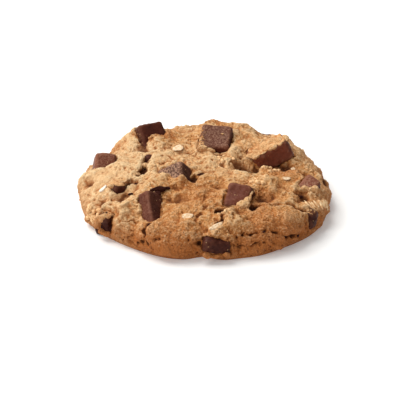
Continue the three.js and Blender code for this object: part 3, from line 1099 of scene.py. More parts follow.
CHUNK_LOOKS = (
    ChunkLook("chunk_back_left", 0.0, 0.16, Cling.FACE, (-0.87, -0.5, 0), 0.6, 0.3),
    ChunkLook("chunk_left_rim", 0.5, 0.6),
    ChunkLook("chunk_back", 0.55, 0.3, Cling.END, (-1, -0.1, 0), 0.05, 0.55),
    ChunkLook("chunk_back_right", 0.25, 1.0, Cling.FACE, (-0.35, -0.13, 0.93), 0.72, 1.0, 2.2, 8),
    ChunkLook("chunk_centre", 1.3, 0.1, wear=0, regain=0.4),
    ChunkLook("chunk_front_left", 0.2, 0.36),
    ChunkLook("chunk_centre_right", 0.05, 0.45, Cling.END, (1, -0.6, 0), 0.75, 1.0, 1.6, 9),
    ChunkLook("chunk_right", 0.75, 0.9),
    ChunkLook("chunk_front_rim", 0.0, 0.06, rugged=1.6, wear=30),
    ChunkLook("chunk_right_rim", 0.0, 0.1, Cling.END, (0, 0, 1), 0.6, 0.5, 2.4, 0, 0.3),
    ChunkLook("chunk_left_small", 0.1, 0.1, Cling.FACE, (0.1, 0.1, 1), 0.7),
    ChunkLook("chunk_left_wall", 0.0, 0.0, Cling.END, (0, 0, 1), 0.4, 0.6, 3.4, 0),
    ChunkLook("chunk_crack", 0.0, 0.0),
    ChunkLook("chunk_rear_left", 0.2, 0.3),
    ChunkLook("chunk_rear_right", 0.2, 0.3, Cling.END, (1, 0.2, 0.4), 0.5),
)

STRAND_LAYS = TornBand().lays()
NUGGET_LAYS = tuple(lay for cluster in CLUSTERS for lay in cluster.lays())


@dataclass(frozen=True)
class CrustForm:
    """The form of the round: its section, its outline, and its crust's mounds, cracks and lumps. In mm."""

    half_width: float = 46.8
    half_depth: float = 45.8
    dome_height: float = 15.5
    belly_height: float = 3.5
    base_tuck: float = 1.2
    fullness: float = 2.6
    middle: tuple[float, float] = (0.1, 0.9)
    section_steps: int = 240
    dome_share: float = 0.85
    slope_step: float = 0.4
    lump_count: int = 260
    lump_radii: Span = (1.9, 3.5)
    lump_heights: Span = (-1.1, 1.7)
    lump_stray: float = 0.5
    crack_wander: float = 1.1
    wander_size: float = 3.0
    wander_seed: float = 11.3
    ragged_levels: Span = (-0.5, 0.35)
    least_depth: float = 0.55
    ragged_depth: float = 0.6

    def section(self) -> tuple[Array, Array, Array]:
        """The section from the crown to the base edge.

        Returns:
            The length along it, the share of the outline's radius, and the height, at each step.
        """
        dome_steps = round(self.section_steps * self.dome_share)
        angle = math.pi / 2 * (1 - np.arange(dome_steps + 1) / dome_steps)
        power = 2 / self.fullness
        share = np.maximum(np.cos(angle), 0) ** power
        height = self.belly_height + (self.dome_height - self.belly_height) * np.sin(angle) ** power
        down = np.arange(1, self.section_steps - dome_steps + 1) / (self.section_steps - dome_steps)
        share = np.concatenate([share, 1 - self.base_tuck / self.half_width * down**2])
        height = np.concatenate([height, self.belly_height * (1 - down)])
        steps = np.hypot(np.diff(share) * self.half_width, np.diff(height))
        return np.concatenate([[0], np.cumsum(steps)]), share, height

    def length(self) -> float:
        """The section's whole length."""
        return float(self.section()[0][-1])

    def outline(self, bearing: Array) -> Array:
        """The outline in plan.

        Args:
            bearing: Bearings in radians.

        Returns:
            The radius at each bearing.
        """
        radius = 1 / np.hypot(np.cos(bearing) / self.half_width, np.sin(bearing) / self.half_depth)
        for lobe in LOBES:
            away = bearing - math.radians(lobe.bearing)
            turn = np.arctan2(np.sin(away), np.cos(away))
            radius = radius + lobe.out * np.exp(-((turn / math.radians(lobe.spread)) ** 2))
        return radius

    def dome(self, bearing: Array, reach: Array) -> Array:
        """Points of the plain dome, before any relief.

        Args:
            bearing: Bearings in radians.
            reach: How far each is from the crown along the dome.

        Returns:
            One point for each.
        """
        along, share, height = self.section()
        radius = np.interp(reach, along, share) * self.outline(bearing)
        rise = np.interp(reach, along, height)
        x = self.middle[0] + radius * np.cos(bearing)
        y = self.middle[1] + radius * np.sin(bearing)
        return np.stack([x, y, rise * np.ones_like(x)], axis=-1)

    def outward(self, bearing: Array, reach: Array) -> Array:
        """The way out of the plain dome.

        Args:
            bearing: Bearings in radians.
            reach: How far each is from the crown along the dome.

        Returns:
            One direction for each.
        """
        along, share, height = self.section()
        inner = np.maximum(reach - self.slope_step, 0)
        outer = np.minimum(reach + self.slope_step, along[-1])
        across = (np.interp(outer, along, share) - np.interp(inner, along, share)) * self.half_width
        fall = np.interp(inner, along, height) - np.interp(outer, along, height)
        size = np.hypot(across, fall)
        out, up = fall / size, across / size
        return np.stack([out * np.cos(bearing), out * np.sin(bearing), up * np.ones_like(bearing)], axis=-1)

    def anchor(self, bearing: float, reach: float) -> Array:
        """One point of the plain dome, by its bearing in degrees and its reach."""
        return self.dome(np.array(math.radians(bearing)), np.array(float(reach)))

    def lumps(self) -> list[Hump]:
        """Pebbly lumps spread evenly over the crust.

        Returns:
            Each one's place, radius and height.
        """
        made = []
        for i in range(self.lump_count):
            reach = self.length() * math.sqrt((i + 0.5) / self.lump_count)
            bearing = i * GOLDEN_TURN + self.lump_stray * scatter(i + 1)
            radius = float(np.interp(scatter(i + 500), (0, 1), self.lump_radii))
            height = float(np.interp(scatter(i + 1000), (0, 1), self.lump_heights))
            made.append((self.dome(np.array(bearing), np.array(reach)), radius, height))
        return made

    @staticmethod
    def humped(points: Array, humps: list[Hump]) -> Array:
        """What round humps, or hollows, add.

        Args:
            points: Points of the plain dome.
            humps: Each one's place, radius and height.

        Returns:
            The sum of them all at each point.
        """
        out = np.zeros(len(points))
        for centre, radius, height in humps:
            near = np.linalg.norm(points - centre, axis=1) / radius
            out += height * np.exp(-(near**2))
        return out

    def raised(self, points: Array, rises: tuple[Rise, ...]) -> Array:
        """What some rises add at each point, in the unit of their heights."""
        humps = [(self.anchor(rise.bearing, rise.reach), rise.radius, rise.height) for rise in rises]
        return self.humped(points, humps)

    def field(self, points: Array, rises: tuple[Rise, ...], base: float) -> Array:
        """A share from 0 to 1 over the crust: the base share, raised or lowered round some places."""
        return np.clip(base + self.raised(points, rises), 0, 1)

    def relief(self, points: Array) -> Array:
        """How far the crust stands out from points of the plain dome, negative in a crack or hollow."""
        lumps = self.humped(points, self.lumps()) * (1 - self.field(points, CALM_FIELDS, 0))
        return self.raised(points, MOUNDS + FINE_RISES) + lumps - self.cracked(points)

    def pits(self, points: Array) -> Array:
        """How deep each point lies in a crack or a dark hole."""
        holes = tuple(rise for rise in FINE_RISES if rise.height < 0)
        return self.cracked(points) - self.raised(points, holes)

    def cracked(self, points: Array) -> Array:
        """How deep the cracks are.

        Args:
            points: Points of the plain dome.

        Returns:
            The depth at each point.
        """
        wander = wobble(points, self.wander_size, self.wander_seed)
        share = self.least_depth + self.ragged_depth * smooth_between(*self.ragged_levels, wander[:, 0])
        wandering = points + self.crack_wander * wander
        out = np.zeros(len(points))
        for crack in CRACKS:
            gap = self.way_to_run(wandering, crack.run)
            out += crack.depth * share * np.exp(-((gap / crack.width) ** 2))
        return out

    def way_to_run(self, points: Array, run: tuple[Span, ...]) -> Array:
        """How far points are from a run of straight stretches on the dome.

        Args:
            points: Places in mm.
            run: The bearing in degrees and the reach of each mark on the run.

        Returns:
            One distance for each point.
        """
        gap = np.full(len(points), np.inf)
        marks = [self.anchor(*mark) for mark in run]
        for start, end in zip(marks, marks[1:]):
            along = end - start
            share = np.clip((points - start) @ along / (along @ along), 0, 1)
            gap = np.minimum(gap, np.linalg.norm(points - start - share[:, None] * along, axis=1))
        return gap


class ChunkBlock:
    """One chunk's convex block, as the frame holds it. In mm."""

    MARGIN = 4.0

    def __init__(self, node: Object) -> None:
        """Takes the block's faces from its node.

        Args:
            node: The chunk's node.
        """
        self.corners = points_of(node.data)
        self.normals = read_vectors(node.data.polygons, "normal")
        centres = read_vectors(node.data.polygons, "center") / MM
        self.offsets = np.einsum("ij,ij->i", self.normals, centres)

    def way_to(self, points: Array) -> Array:
        """How far points are outside the block, negative inside it.

        Args:
            points: Places in mm.

        Returns:
            One distance for each point, and the margin for points far away.
        """
        far = np.full(len(points), self.MARGIN)
        low, high = self.corners.min(0) - self.MARGIN, self.corners.max(0) + self.MARGIN
        near = np.all((points > low) & (points < high), axis=1)
        if near.any():
            far[near] = (points[near] @ self.normals.T - self.offsets).max(axis=1)
        return far


@dataclass(frozen=True)
class CrustRelief:
    """The crust's fine relief: clods, pebbles, grain, torn crevices and pits. Sizes in metres."""

    clod_height: float = 2.4 * MM
    clod_gap: float = 6.2 * MM
    pebble_height: float = 1.2 * MM
    pebble_gap: float = 2.5 * MM
    grain_height: float = 0.8 * MM
    grain_gap: float = 1.2 * MM
    crevice_depth: float = 1.3 * MM
    crevice_size: float = 6 * MM
    torn_size: float = 11 * MM
    pit_depth: float = 0.9 * MM
    pit_gap: float = 3.0 * MM
    pit_patch: float = 7 * MM
    swell_height: float = 1.0 * MM
    swell_size: float = 3.2 * MM
    tuft_size: float = 9 * MM
    bend: Span = (5 * MM, 3.0 * MM)
    fray: Span = (1.6 * MM, 0.9 * MM)

    def rule(self, material: Material) -> ShapeRule:
        """Makes the rule, which reads the rough and crag traits.

        Args:
            material: What the dough is dressed in.

        Returns:
            The rule, with its heights and depths as named inputs.
        """
        sizes = {
            "Clod": self.clod_height,
            "Pebble": self.pebble_height,
            "Grain": self.grain_height,
            "Crevice": self.crevice_depth,
            "Pit": self.pit_depth,
        }
        rule = ShapeRule("crust_pebbles", {**sizes, "Material": material})
        place = rule.place()
        crag = rule.named(Trait.CRAG)
        bent = rule.warped(place, *self.bend)
        frayed = rule.warped(bent, *self.fray)
        tufts = rule.noise(place, self.tuft_size, 2.0).ease(0.42, 0.6)
        vein = abs(rule.noise(bent, self.crevice_size, 2.0, 0.55) - 0.5).ease(0.03, 0.004)
        torn = rule.noise(place, self.torn_size).ease(0.5, 0.6)
        pitted = rule.noise(place, self.pit_patch).ease(0.47, 0.56)
        pit = rule.cells(bent, self.pit_gap).ease(0.24, 0.12) * pitted
        pebbly = 0.1 + crag * 0.85 + tufts * 0.3
        out = rule.size("Clod") * (0.35 + crag * 0.8) * rule.mounds(bent, self.clod_gap, 0.3)
        out = out + rule.size("Pebble") * pebbly * rule.mounds(frayed, self.pebble_gap, 0.12)
        out = out + rule.size("Grain") * (0.42 + crag * 0.65) * rule.mounds(frayed, self.grain_gap, 0.05)
        out = out - rule.size("Crevice") * vein * torn * crag
        out = out - rule.size("Pit") * pit * (0.2 + crag * 1.3)
        out = out + (rule.noise(place, self.swell_size, 3.0, 0.6) - 0.5) * self.swell_height
        normal = rule.node("GeometryNodeInputNormal").outputs[0]
        offset = rule.vector("SCALE", {0: normal, "Scale": out * rule.named(Trait.ROUGH)})
        geometry = rule.start.outputs["Geometry"]
        rule.finish("GeometryNodeSetPosition", {"Geometry": geometry, "Offset": offset})
        return rule


@dataclass
class Dough:
    """The round of dough, with its crust, its base and the ridges round the chunks. In mm."""

    form: CrustForm
    blocks: list[ChunkBlock]
    rings: int = 174
    ring_step: int = 6
    base_shares: tuple[float, ...] = (0.985, 0.93, 0.8, 0.55, 0.25)
    ragged_size: float = 2.2
    ragged_seed: float = 3.7
    calm_foot: Span = (0.1, 1.6)
    calm_chunk: Span = (-0.5, 0.1)
    calm_laid: Span = (1.0, 3.5)
    crag: float = 0.35
    toast: float = 0.35
    base_toast: float = 0.8
    crease_rounds: int = 12
    hollow_rounds: int = 110

    def rim(self) -> tuple[Array, Array]:
        """All points of the crust, ring by ring from the crown.

        Returns:
            Their bearings in radians and their reaches.
        """
        bearings, reaches = [np.zeros(1)], [np.zeros(1)]
        length = self.form.length()
        for ring in range(1, self.rings + 1):
            count = ring * self.ring_step
            bearings.append(even_turns(count))
            reaches.append(np.full(count, length * ring / self.rings))
        return np.concatenate(bearings), np.concatenate(reaches)

    @staticmethod
    def stitch(inner: tuple[int, int], outer: tuple[int, int]) -> list[Triangle]:
        """Joins two rings of evenly spaced points with a band of triangles.

        Args:
            inner: First point and count of the inner ring.
            outer: First point and count of the outer ring.

        Returns:
            The triangles.
        """
        (a, m), (b, n) = inner, outer
        i = j = 0
        band = []
        while i < m or j < n:
            if i == m or (j < n and (j + 1) * m <= (i + 1) * n):
                band.append((a + i % m, b + j % n, b + (j + 1) % n))
                j += 1
            else:
                band.append((a + i % m, b + j % n, a + (i + 1) % m))
                i += 1
        return band

    def faces(self) -> list[Triangle]:
        """All triangles, from the crown over the rim to the middle of the base.

        Returns:
            The triangles, as the numbers of their points.
        """
        counts = [1, *(self.ring_step * (k + 1) for k in range(self.rings))]
        counts += [self.rings * self.ring_step] * len(self.base_shares) + [1]
        starts = np.concatenate([[0], np.cumsum(counts)])[:-1].tolist()
        rings = list(zip(starts, counts))
        return [face for inner, outer in zip(rings, rings[1:]) for face in self.stitch(inner, outer)]

    def ridged(self, points: Array) -> Array:
        """How the crust rises and falls next to the chunks.

        Args:
            points: Points of the crust.

        Returns:
            The way out at each point.
        """
        ragged = wobble(points, self.ragged_size, self.ragged_seed)[:, 0]
        out = np.zeros(len(points))
        for block in self.blocks:
            way = block.way_to(points)
            for ridge in RIDGES:
                share = ridge.even + ridge.ragged * ragged
                out += ridge.height * share * np.exp(-(((way - ridge.middle) / ridge.width) ** 2))
        return out

    def roughness(self, plain: Array, crust: Array) -> Array:
        """How much fine relief the crust takes: none at its foot, in chunks and under what lies on it.

        Args:
            plain: Points of the plain dome.
            crust: The same points on the crust.

        Returns:
            A share from 0 to 1 for each point.
        """
        inside = np.min([block.way_to(crust) for block in self.blocks], axis=0)
        rough = smooth_between(*self.calm_foot, plain[:, 2]) * smooth_between(*self.calm_chunk, inside)
        for lay in FLAKE_LAYS + STRAND_LAYS:
            away = np.linalg.norm(plain - self.form.anchor(lay.bearing, lay.reach), axis=1)
            rough *= smooth_between(*self.calm_laid, away)
        return rough

    def shell(self) -> Mesh:
        """The closed mesh of the round with its larger relief.

        Returns:
            The mesh, with its rough, crag, toast and pit traits.
        """
        form = self.form
        bearing, reach = self.rim()
        plain = form.dome(bearing, reach)
        hold = smooth_between(0, form.belly_height, plain[:, 2])
        outward = form.outward(bearing, reach)
        crust = plain + outward * (hold * form.relief(plain))[:, None]
        crust += outward * (hold * self.ridged(crust))[:, None]
        edge = self.rings * self.ring_step
        foot = form.dome(even_turns(edge), np.full(edge, form.length()))
        middle = np.array([*form.middle, 0])
        base = [middle + (foot - middle) * share for share in self.base_shares]
        points = np.concatenate([crust, *base, middle[None]])
        mesh = bpy.data.meshes.new("dough_crust")
        mesh.from_pydata((points * MM).tolist(), [], self.faces())
        pad = np.zeros(len(points) - len(crust))
        for trait, values, below in (
            (Trait.ROUGH, self.roughness(plain, crust), 0),
            (Trait.CRAG, form.field(plain, CRAG_FIELDS, self.crag), 0),
            (Trait.TOAST, form.field(plain, TOAST_AND_SHADOW_FIELDS, self.toast), self.base_toast),
            (Trait.PIT, hold * form.pits(plain), 0),
        ):
            write_trait(mesh, trait, np.concatenate([values, pad + below]))
        mesh.shade_smooth()
        return mesh

    def build(self, rule: ShapeRule) -> Object:
        """Makes and dresses the dough.

        Args:
            rule: The rule for its fine relief.

        Returns:
            The finished piece.
        """
        made = link("dough_crust", self.shell())
        rule.run(made)
        write_trait(made.data, Trait.CREASE, sunkenness(made.data, self.crease_rounds))
        write_trait(made.data, Trait.HOLLOW, sunkenness(made.data, self.hollow_rounds))
        write_trait(made.data, Trait.UP, normals_of(made.data)[:, 2])
        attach(made, BODY)
        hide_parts("dough")
        return made


@dataclass
class DoughDabs:
    """Dough that laps over chunks or clings to them, finished like the crust."""

    voxel: float = 0.3
    cuts: int = 3
    rough: float = 0.7
    crag: float = 0.35
    toast: float = 0.4
    crease_rounds: int = 8

    def build(self, rule: ShapeRule) -> Object:
        """Makes and dresses the dabs.

        Args:
            rule: The crust's rule for fine relief.

        Returns:
            The finished piece.
        """
        body = bmesh.new()
        for dab in DABS:
            lie = Matrix.Rotation(math.radians(dab.turn), 4, "Z")
            lie = lie @ Matrix.Rotation(math.radians(-dab.rise), 4, "Y")
            size = Matrix.Diagonal((*dab.half, 1))
            spot = Matrix.Scale(MM, 4) @ Matrix.Translation(dab.middle) @ lie @ size
            bmesh.ops.create_icosphere(body, subdivisions=self.cuts, radius=1, matrix=spot)
        made = even(link("dough_dabs", fill(bpy.data.meshes.new("dough_dabs"), body)), self.voxel)
        for trait, share in ((Trait.ROUGH, self.rough), (Trait.CRAG, self.crag), (Trait.TOAST, self.toast)):
            write_trait(made.data, trait, np.full(len(made.data.vertices), share))
        rule.run(made)
        write_trait(made.data, Trait.CREASE, sunkenness(made.data, self.crease_rounds))
        write_trait(made.data, Trait.UP, normals_of(made.data)[:, 2])
        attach(made, BODY)
        return made


@dataclass
class ChocolateChunks:
    """The chocolate chunks: the frame's blocks with broken, worn faces. In mm."""

    voxel: float = 0.34
    swell: float = 0.3
    swell_size: float = 4.5
    swell_seed: float = 5.1
    swell_level: float = 0.15
    chip: float = 0.14
    chip_size: float = 1.3
    chip_seed: float = 9.4
    film: float = 0.5
    film_size: float = 1.1
    film_seed: float = 2.2
    film_level: float = 0.6
    # Bloomed speckle and painted highlight go on faces turned this way, towards the light.
    bloom_and_light_way: Point = (-0.45, -0.15, 0.88)
    bloom_and_light_levels: Span = (0.1, 0.8)
    # Painted shade: faces that look along +x, away from the light, lose their warm brown.
    shaded: float = 0.6
    shaded_levels: Span = (0.2, 0.7)
    face_blend: float = 0.2
    crease_rounds: int = 10

    def block(self, look: ChunkLook, index: int, material: Material) -> Object:
        """Makes one chunk.

        Args:
            look: Which chunk, and how it shows.
            index: Its number, which sets its random shape.
            material: The chocolate.

        Returns:
            The chunk.
        """
        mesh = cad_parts[look.node].data.copy()
        body = bmesh.new()
        body.from_mesh(mesh)
        bmesh.ops.remove_doubles(body, verts=body.verts, dist=WELD_GAP)
        made = even(link(look.node + "_block", fill(mesh, body)), self.voxel, look.wear)
        mesh = made.data
        points = points_of(mesh)
        clings = self.clings(mesh, look)
        broad = wobble(points, self.swell_size, self.swell_seed + index)[:, 0]
        fine = wobble(points, self.chip_size, self.chip_seed + index)[:, 1]
        out = look.regain + look.rugged * (self.swell * (broad - self.swell_level) + self.chip * fine)
        out += self.film * clings * (self.film_level + wobble(points, self.film_size, self.film_seed)[:, 0])
        normals = normals_of(mesh)
        # Painted highlight with the bloomed speckle on faces turned to the light, painted shade on faces
        # turned away.
        lit = smooth_between(*self.bloom_and_light_levels, normals @ np.array(self.bloom_and_light_way))
        dim = smooth_between(*self.shaded_levels, normals[:, 0])
        write_trait(mesh, Trait.BLOOM, look.bloom * lit)
        write_trait(mesh, Trait.WARM, look.warm * (1 - self.shaded * dim))
        write_trait(mesh, Trait.SMEAR, clings)
        move_points(mesh, points + normals * out[:, None])
        write_trait(mesh, Trait.CREASE, sunkenness(mesh, self.crease_rounds))
        mesh.materials.clear()
        mesh.materials.append(material)
        return made

    def clings(self, mesh: Mesh, look: ChunkLook) -> Array:
        """How much dough clings to a chunk.

        Args:
            mesh: The chunk's mesh.
            look: Where dough clings to it.

        Returns:
            A share from 0 to 1 for each point.
        """
        way = np.array(look.way, float) / np.linalg.norm(look.way)
        if look.cling is Cling.FACE:
            facing = normals_of(mesh) @ way
            return look.cover * smooth_between(look.start, look.start + self.face_blend, facing)
        points = points_of(mesh)
        along = (points - (points.min(0) + points.max(0)) / 2) @ way
        if look.cling is Cling.END:
            return look.cover * smooth_between(look.start, 1.0, along / along.max())
        return along * 0

    def build(self, material: Material) -> list[Object]:
        """Makes and dresses all chunks.

        Args:
            material: The chocolate.

        Returns:
            The finished pieces.
        """
        made = []
        for index, look in enumerate(CHUNK_LOOKS):
            piece = self.block(look, index, material)
            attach(piece, BODY)
            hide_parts(look.node)
            made.append(piece)
        return made


class Ground:
    """The finished crust as something to set other things on. In mm."""

    RAY_START = 8.0

    def __init__(self, form: CrustForm, crust: Object) -> None:
        """Prepares a crust to be found by rays.

        Args:
            form: The form of the round.
            crust: The finished crust.
        """
        self.form = form
        faces = [tuple(face.vertices) for face in crust.data.polygons]
        self.tree = BVHTree.FromPolygons([tuple(point) for point in points_of(crust.data)], faces)

    def spot(self, bearing: float, reach: float) -> tuple[Vector, Vector]:
        """Where the crust is under a point of the plain dome.

        Args:
            bearing: The bearing in degrees.
            reach: The way from the crown along the dome.

        Returns:
            The place on the crust, and the dome's way out there.
        """
        turn, way = np.array(math.radians(bearing)), np.array(float(reach))
        outward = Vector(self.form.outward(turn, way))
        plain = Vector(self.form.dome(turn, way))
        hit = self.tree.ray_cast(plain + outward * self.RAY_START, -outward)[0]
        return (hit or plain), outward


@dataclass
class Scattered:
    """Things of one kind that lie at chosen places on the crust, sunk by some mm, or raised if negative."""

    name: str
    lays: tuple[Lay, ...]
    sink: float
    slot: Slot = Slot.DOUGH

    def spots(self, ground: Ground) -> Object:
        """A mesh of bare points with the turn, size and painted glint of what lies at each.

        Args:
            ground: What the things lie on.

        Returns:
            The object with those points.
        """
        places, turns = [], []
        up = Vector((0, 0, 1))
        for lay in self.lays:
            place, outward = ground.spot(lay.bearing, lay.reach)
            lie = up.rotation_difference(outward) @ Quaternion(up, math.radians(lay.turn))
            places.append(tuple((place - outward * self.sink) * MM))
            turns.append(tuple(lie.to_euler()))
        mesh = bpy.data.meshes.new(self.name)
        mesh.from_pydata(places, [], [])
        write_trait(mesh, Trait.TURN, np.array(turns))
        write_trait(mesh, Trait.SIZE, np.array([lay.size for lay in self.lays]))
        write_trait(mesh, Trait.PALE, np.array([lay.pale for lay in self.lays]))
        return link(self.name, mesh)

    def place(self, ground: Ground, pattern: Object, material: Material) -> Object:
        """Sets copies of a pattern on the crust as one plain mesh.

        Args:
            ground: What the copies lie on.
            pattern: The object that is copied, which is then removed.
            material: What they are dressed in.

        Returns:
            The finished piece.
        """
        rule = ShapeRule(self.name, {"Pattern": pattern, "Material": material})
        copies = {
            "Points": rule.start.outputs["Geometry"],
            "Instance": rule.shape("Pattern"),
            "Rotation": rule.named(Trait.TURN, "FLOAT_VECTOR"),
            "Scale": rule.named(Trait.SIZE, "FLOAT_VECTOR"),
        }
        rule.finish("GeometryNodeInstanceOnPoints", copies)
        made = rule.run(self.spots(ground))
        bpy.data.objects.remove(pattern)
        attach(made, BODY)
        return made


@dataclass(frozen=True)
class FlakePattern:
    """One rolled oat: an oval, thin disc with a crease along it and a curled, wavy rim. In mm."""

    half_length: float = 2.1
    half_width: float = 1.4
    half_thickness: float = 0.22
    crease: float = 0.09
    crease_width: float = 0.3
    curl: float = 0.12
    curl_start: float = 0.7
    curl_drop: float = 0.3
    waves: tuple[tuple[int, float, float], ...] = ((3, 0.07, 0.6), (5, 0.04, 0.0))
    rings: int = 5
    sides: int = 22

    def build(self, name: str) -> Object:
        """Makes the flake.

        Args:
            name: The pattern's name.

        Returns:
            The pattern, about its own middle, lying flat.
        """
        body = bmesh.new()
        for side in (1, -1):
            self.cap(body, side)
        bmesh.ops.remove_doubles(body, verts=body.verts, dist=WELD_GAP)
        bmesh.ops.recalc_face_normals(body, faces=body.faces)
        mesh = fill(bpy.data.meshes.new(name), body)
        mesh.shade_smooth()
        return link(name, mesh)

    def cap(self, body: bmesh.types.BMesh, side: int) -> None:
        """Adds one face of the flake.

        Args:
            body: What it is added to.
            side: 1 for the upper face, -1 for the lower.
        """
        circles = [[body.verts.new(self.point(0, 0, side))]]
        for ring in range(1, self.rings + 1):
            points = [self.point(ring / self.rings, turn, side) for turn in even_turns(self.sides)]
            circles.append([body.verts.new(point) for point in points])
        for inner, outer in zip(circles, circles[1:]):
            for k in range(self.sides):
                following = (k + 1) % self.sides
                corners = [inner[k % len(inner)], outer[k], outer[following]]
                if len(inner) > 1:
                    corners.append(inner[following])
                body.faces.new(corners)

    def point(self, share: float, turn: float, side: int) -> Vector:
        """A point of the flake.

        Args:
            share: How far out it is, 0 at the middle and 1 at the rim.
            turn: Which way, in radians.
            side: 1 on the upper face, -1 on the lower.

        Returns:
            The point in metres.
        """
        wavy = 1.0
        for count, height, start in self.waves:
            wavy += height * math.sin(count * turn + start)
        x = self.half_length * share * wavy * math.cos(turn)
        y = self.half_width * share * wavy * math.sin(turn)
        thick = self.half_thickness * math.sqrt(max(1 - share**4, 0))
        fold = self.crease * math.exp(-((y / self.crease_width) ** 2)) * (1 - share**2)
        lift = self.curl * (share**2) * (0.5 + 0.5 * math.cos(2 * turn + self.curl_start))
        z = side * thick - fold * max(side, 0) + lift - self.curl * self.curl_drop
        return Vector((x, y, z)) * MM


@dataclass(frozen=True)
class LumpPattern:
    """One small broken lump, 1 mm in radius before it is scaled, with dents in mm."""

    name: str
    cuts: int
    dent: float
    dent_size: float = 0.9
    dent_seed: float = 4.4

    def build(self) -> Object:
        """Makes the lump.

        Returns:
            The pattern.
        """
        body = bmesh.new()
        bmesh.ops.create_icosphere(body, subdivisions=self.cuts, radius=MM)
        mesh = fill(bpy.data.meshes.new(self.name), body)
        points = points_of(mesh)
        move_points(mesh, points + self.dent * wobble(points, self.dent_size, self.dent_seed))
        if self.cuts > 1:
            mesh.shade_smooth()
        return link(self.name, mesh)


@dataclass
class Crumbs:
    """Loose crumbs of dough that stick to the crust. Sizes in metres."""

    least_gap: float = 2.2 * MM
    density: float = 90000.0
    seed: int = 7
    lowest: float = 3.0 * MM
    patch_size: float = 11 * MM
    patch_levels: Span = (0.45, 0.62)
    radius: float = 0.5 * MM
    scales: Span = (0.35, 1.15)
    dents: Span = (0.6 * MM, 0.9 * MM)
    sides: int = 6
    bands: int = 4

    def build(self, crust: Object) -> Object:
        """Scatters and dresses the crumbs.

        Args:
            crust: The finished dough, whose material the crumbs share.

        Returns:
            The finished piece.
        """
        sizes = {"Least gap": self.least_gap, "Density": self.density, "Radius": self.radius}
        fed = {"Crust": crust, "Seed": self.seed, "Material": crust.data.materials[0]}
        rule = ShapeRule("crumbs", {**sizes, **fed})
        place = rule.place()
        height = rule.value("ShaderNodeSeparateXYZ", {}, {0: place}, 2)
        patch = rule.noise(place, self.patch_size).ease(*self.patch_levels)
        strewn = {
            "Mesh": rule.shape("Crust"),
            "Distance Min": rule.size("Least gap"),
            "Density Max": rule.size("Density"),
            "Density Factor": patch * (height > self.lowest),
            "Seed": rule.size("Seed"),
        }
        points = rule.node("GeometryNodeDistributePointsOnFaces", {"distribute_method": "POISSON"}, strewn)
        round_ball = {"Segments": self.sides, "Rings": self.bands, "Radius": rule.size("Radius")}
        ball = rule.node("GeometryNodeMeshUVSphere", {}, round_ball).outputs[0]
        dented = {"Geometry": ball, "Position": rule.warped(place, *self.dents)}
        least, most = self.scales
        turns = {1: (math.tau,) * 3, "Seed": self.seed + 1}
        scales = {2: least, 3: most, "Seed": self.seed + 2}
        copies = {
            "Points": points.outputs[0],
            "Instance": rule.node("GeometryNodeSetPosition", {}, dented).outputs[0],
            "Rotation": rule.value("FunctionNodeRandomValue", {"data_type": "FLOAT_VECTOR"}, turns),
            "Scale": rule.value("FunctionNodeRandomValue", {"data_type": "FLOAT"}, scales, 1),
        }
        rule.finish("GeometryNodeInstanceOnPoints", copies)
        made = rule.run(link("crumbs", bpy.data.meshes.new("crumbs")))
        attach(made, BODY)
        return made


@dataclass(frozen=True)
class Softbox:
    """A square soft light: its place and size in metres, its power in watts and its tint."""

    name: str
    place: Point
    side: float
    power: float
    tint: tuple[float, float, float] = (1.0, 1.0, 1.0)


SOFTBOXES = (
    Softbox("key_light", (-0.44, 0.32, 0.8), 0.9, 12.5, (1.0, 0.985, 0.96)),
    Softbox("front_light", (-0.8, -0.7, 0.6), 0.45, 3.9),
)


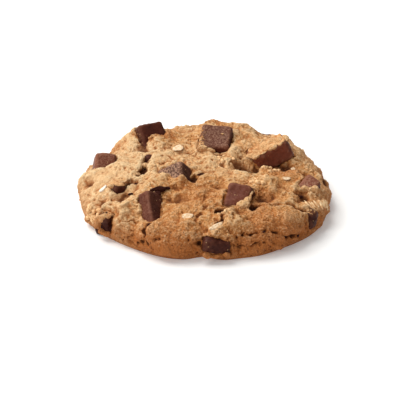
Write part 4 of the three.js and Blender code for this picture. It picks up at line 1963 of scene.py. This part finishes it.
@dataclass
class Studio:
    """The table, the light and the camera. Sizes in metres."""

    floor_half: float = 3.0
    floor_drop: float = 0.05 * MM
    world_light: float = 0.37
    elevation_deg: float = 29.2
    distance: float = 757.1 * MM
    focal_px: float = 2021.25
    pivot: Point = (0.8 * MM, 2.95 * MM, 0.0)
    pivot_px: tuple[float, float] = (205.75, 194.8)

    @staticmethod
    def aim(made: Object, place: Vector, target: Vector) -> None:
        """Puts a lamp or a camera at a place and turns it to a target."""
        made.location = place
        made.rotation_euler = (target - place).to_track_quat("-Z", "Y").to_euler()

    def floor(self, finish: FloorFinish) -> None:
        """Makes the table.

        Args:
            finish: The table's finish.
        """
        sides = ((-1, -1), (1, -1), (1, 1), (-1, 1))
        corners = [(x * self.floor_half, y * self.floor_half, -self.floor_drop) for x, y in sides]
        mesh = bpy.data.meshes.new("table")
        mesh.from_pydata(corners, [], [(0, 1, 2, 3)])
        mesh.materials.append(finish.material())
        link("table", mesh)

    def lights(self) -> None:
        """Makes the soft boxes and the even light all round."""
        for box in SOFTBOXES:
            lamp = bpy.data.lights.new(box.name, "AREA")
            lamp.size = box.side
            lamp.energy = box.power
            lamp.color = box.tint
            self.aim(link(box.name, lamp), Vector(box.place), Vector())
        world = bpy.data.worlds.new("even_light")
        world.use_nodes = True
        ground = world.node_tree.nodes["Background"]
        ground.inputs["Strength"].default_value = self.world_light
        ground.inputs["Color"].default_value = (1, 1, 1, 1)
        bpy.context.scene.world = world
        bpy.context.scene.view_settings.view_transform = "Standard"

    def camera(self) -> None:
        """Makes the camera, so that the pivot falls on its place in the picture."""
        tilt = math.radians(self.elevation_deg)
        back = Vector((0, -math.cos(tilt), math.sin(tilt)))
        up = Vector((0, math.sin(tilt), math.cos(tilt)))
        side = Vector((1, 0, 0))
        per_px = self.distance / self.focal_px
        middle = PHOTO_SIDE_PX / 2
        pivot = Vector(self.pivot)
        across = side * (middle - self.pivot_px[0]) * per_px
        upward = up * (self.pivot_px[1] - middle) * per_px
        lens = bpy.data.cameras.new("camera")
        lens.lens = self.focal_px / PHOTO_SIDE_PX * lens.sensor_width
        made = link("camera", lens)
        self.aim(made, pivot + back * self.distance, pivot + across + upward)
        bpy.context.scene.camera = made


def report(pieces: list[Object]) -> None:
    """Logs each piece with its triangles.

    Args:
        pieces: The finished pieces.
    """
    for piece in pieces:
        triangles = sum(len(face.vertices) - 2 for face in piece.data.polygons)
        log.info("%s: %d triangles", piece.name, triangles)


def main() -> None:
    """Builds the studio and the cookie."""
    logging.basicConfig(level=logging.INFO)
    noise.seed_set(NOISE_SEED)
    studio = Studio()
    studio.camera()
    studio.floor(FloorFinish())
    studio.lights()
    form = CrustForm()
    blocks = [ChunkBlock(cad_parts[look.node]) for look in CHUNK_LOOKS]
    chocolate = ChocolateFinish().material()
    rule = CrustRelief().rule(DoughFinish().material())
    crust = Dough(form, blocks).build(rule)
    dabs = DoughDabs().build(rule)
    chunks = ChocolateChunks().build(chocolate)
    ground = Ground(form, crust)
    flake = FlakePattern().build("flake")
    bit = LumpPattern("bit", cuts=1, dent=0.35).build()
    strand = LumpPattern("strand", cuts=2, dent=0.3).build()
    nugget = LumpPattern("nugget", cuts=2, dent=0.5).build()
    flakes = Scattered("oat_flakes", FLAKE_LAYS, sink=-0.25)
    bits = Scattered("chocolate_bits", BIT_LAYS, sink=-0.45, slot=Slot.CHOCOLATE)
    strands = Scattered("torn_strands", STRAND_LAYS, sink=-0.15)
    nuggets = Scattered("dough_nuggets", NUGGET_LAYS, sink=0.1)
    scattered = [
        flakes.place(ground, flake, ROLLED_OAT.material()),
        bits.place(ground, bit, chocolate),
        strands.place(ground, strand, TORN_DOUGH.material()),
        nuggets.place(ground, nugget, CRUMBLY_DOUGH.material()),
    ]
    crumbs = Crumbs().build(crust)
    report([crust, dabs, *chunks, *scattered, crumbs])


if __name__ == "__main__":
    main()
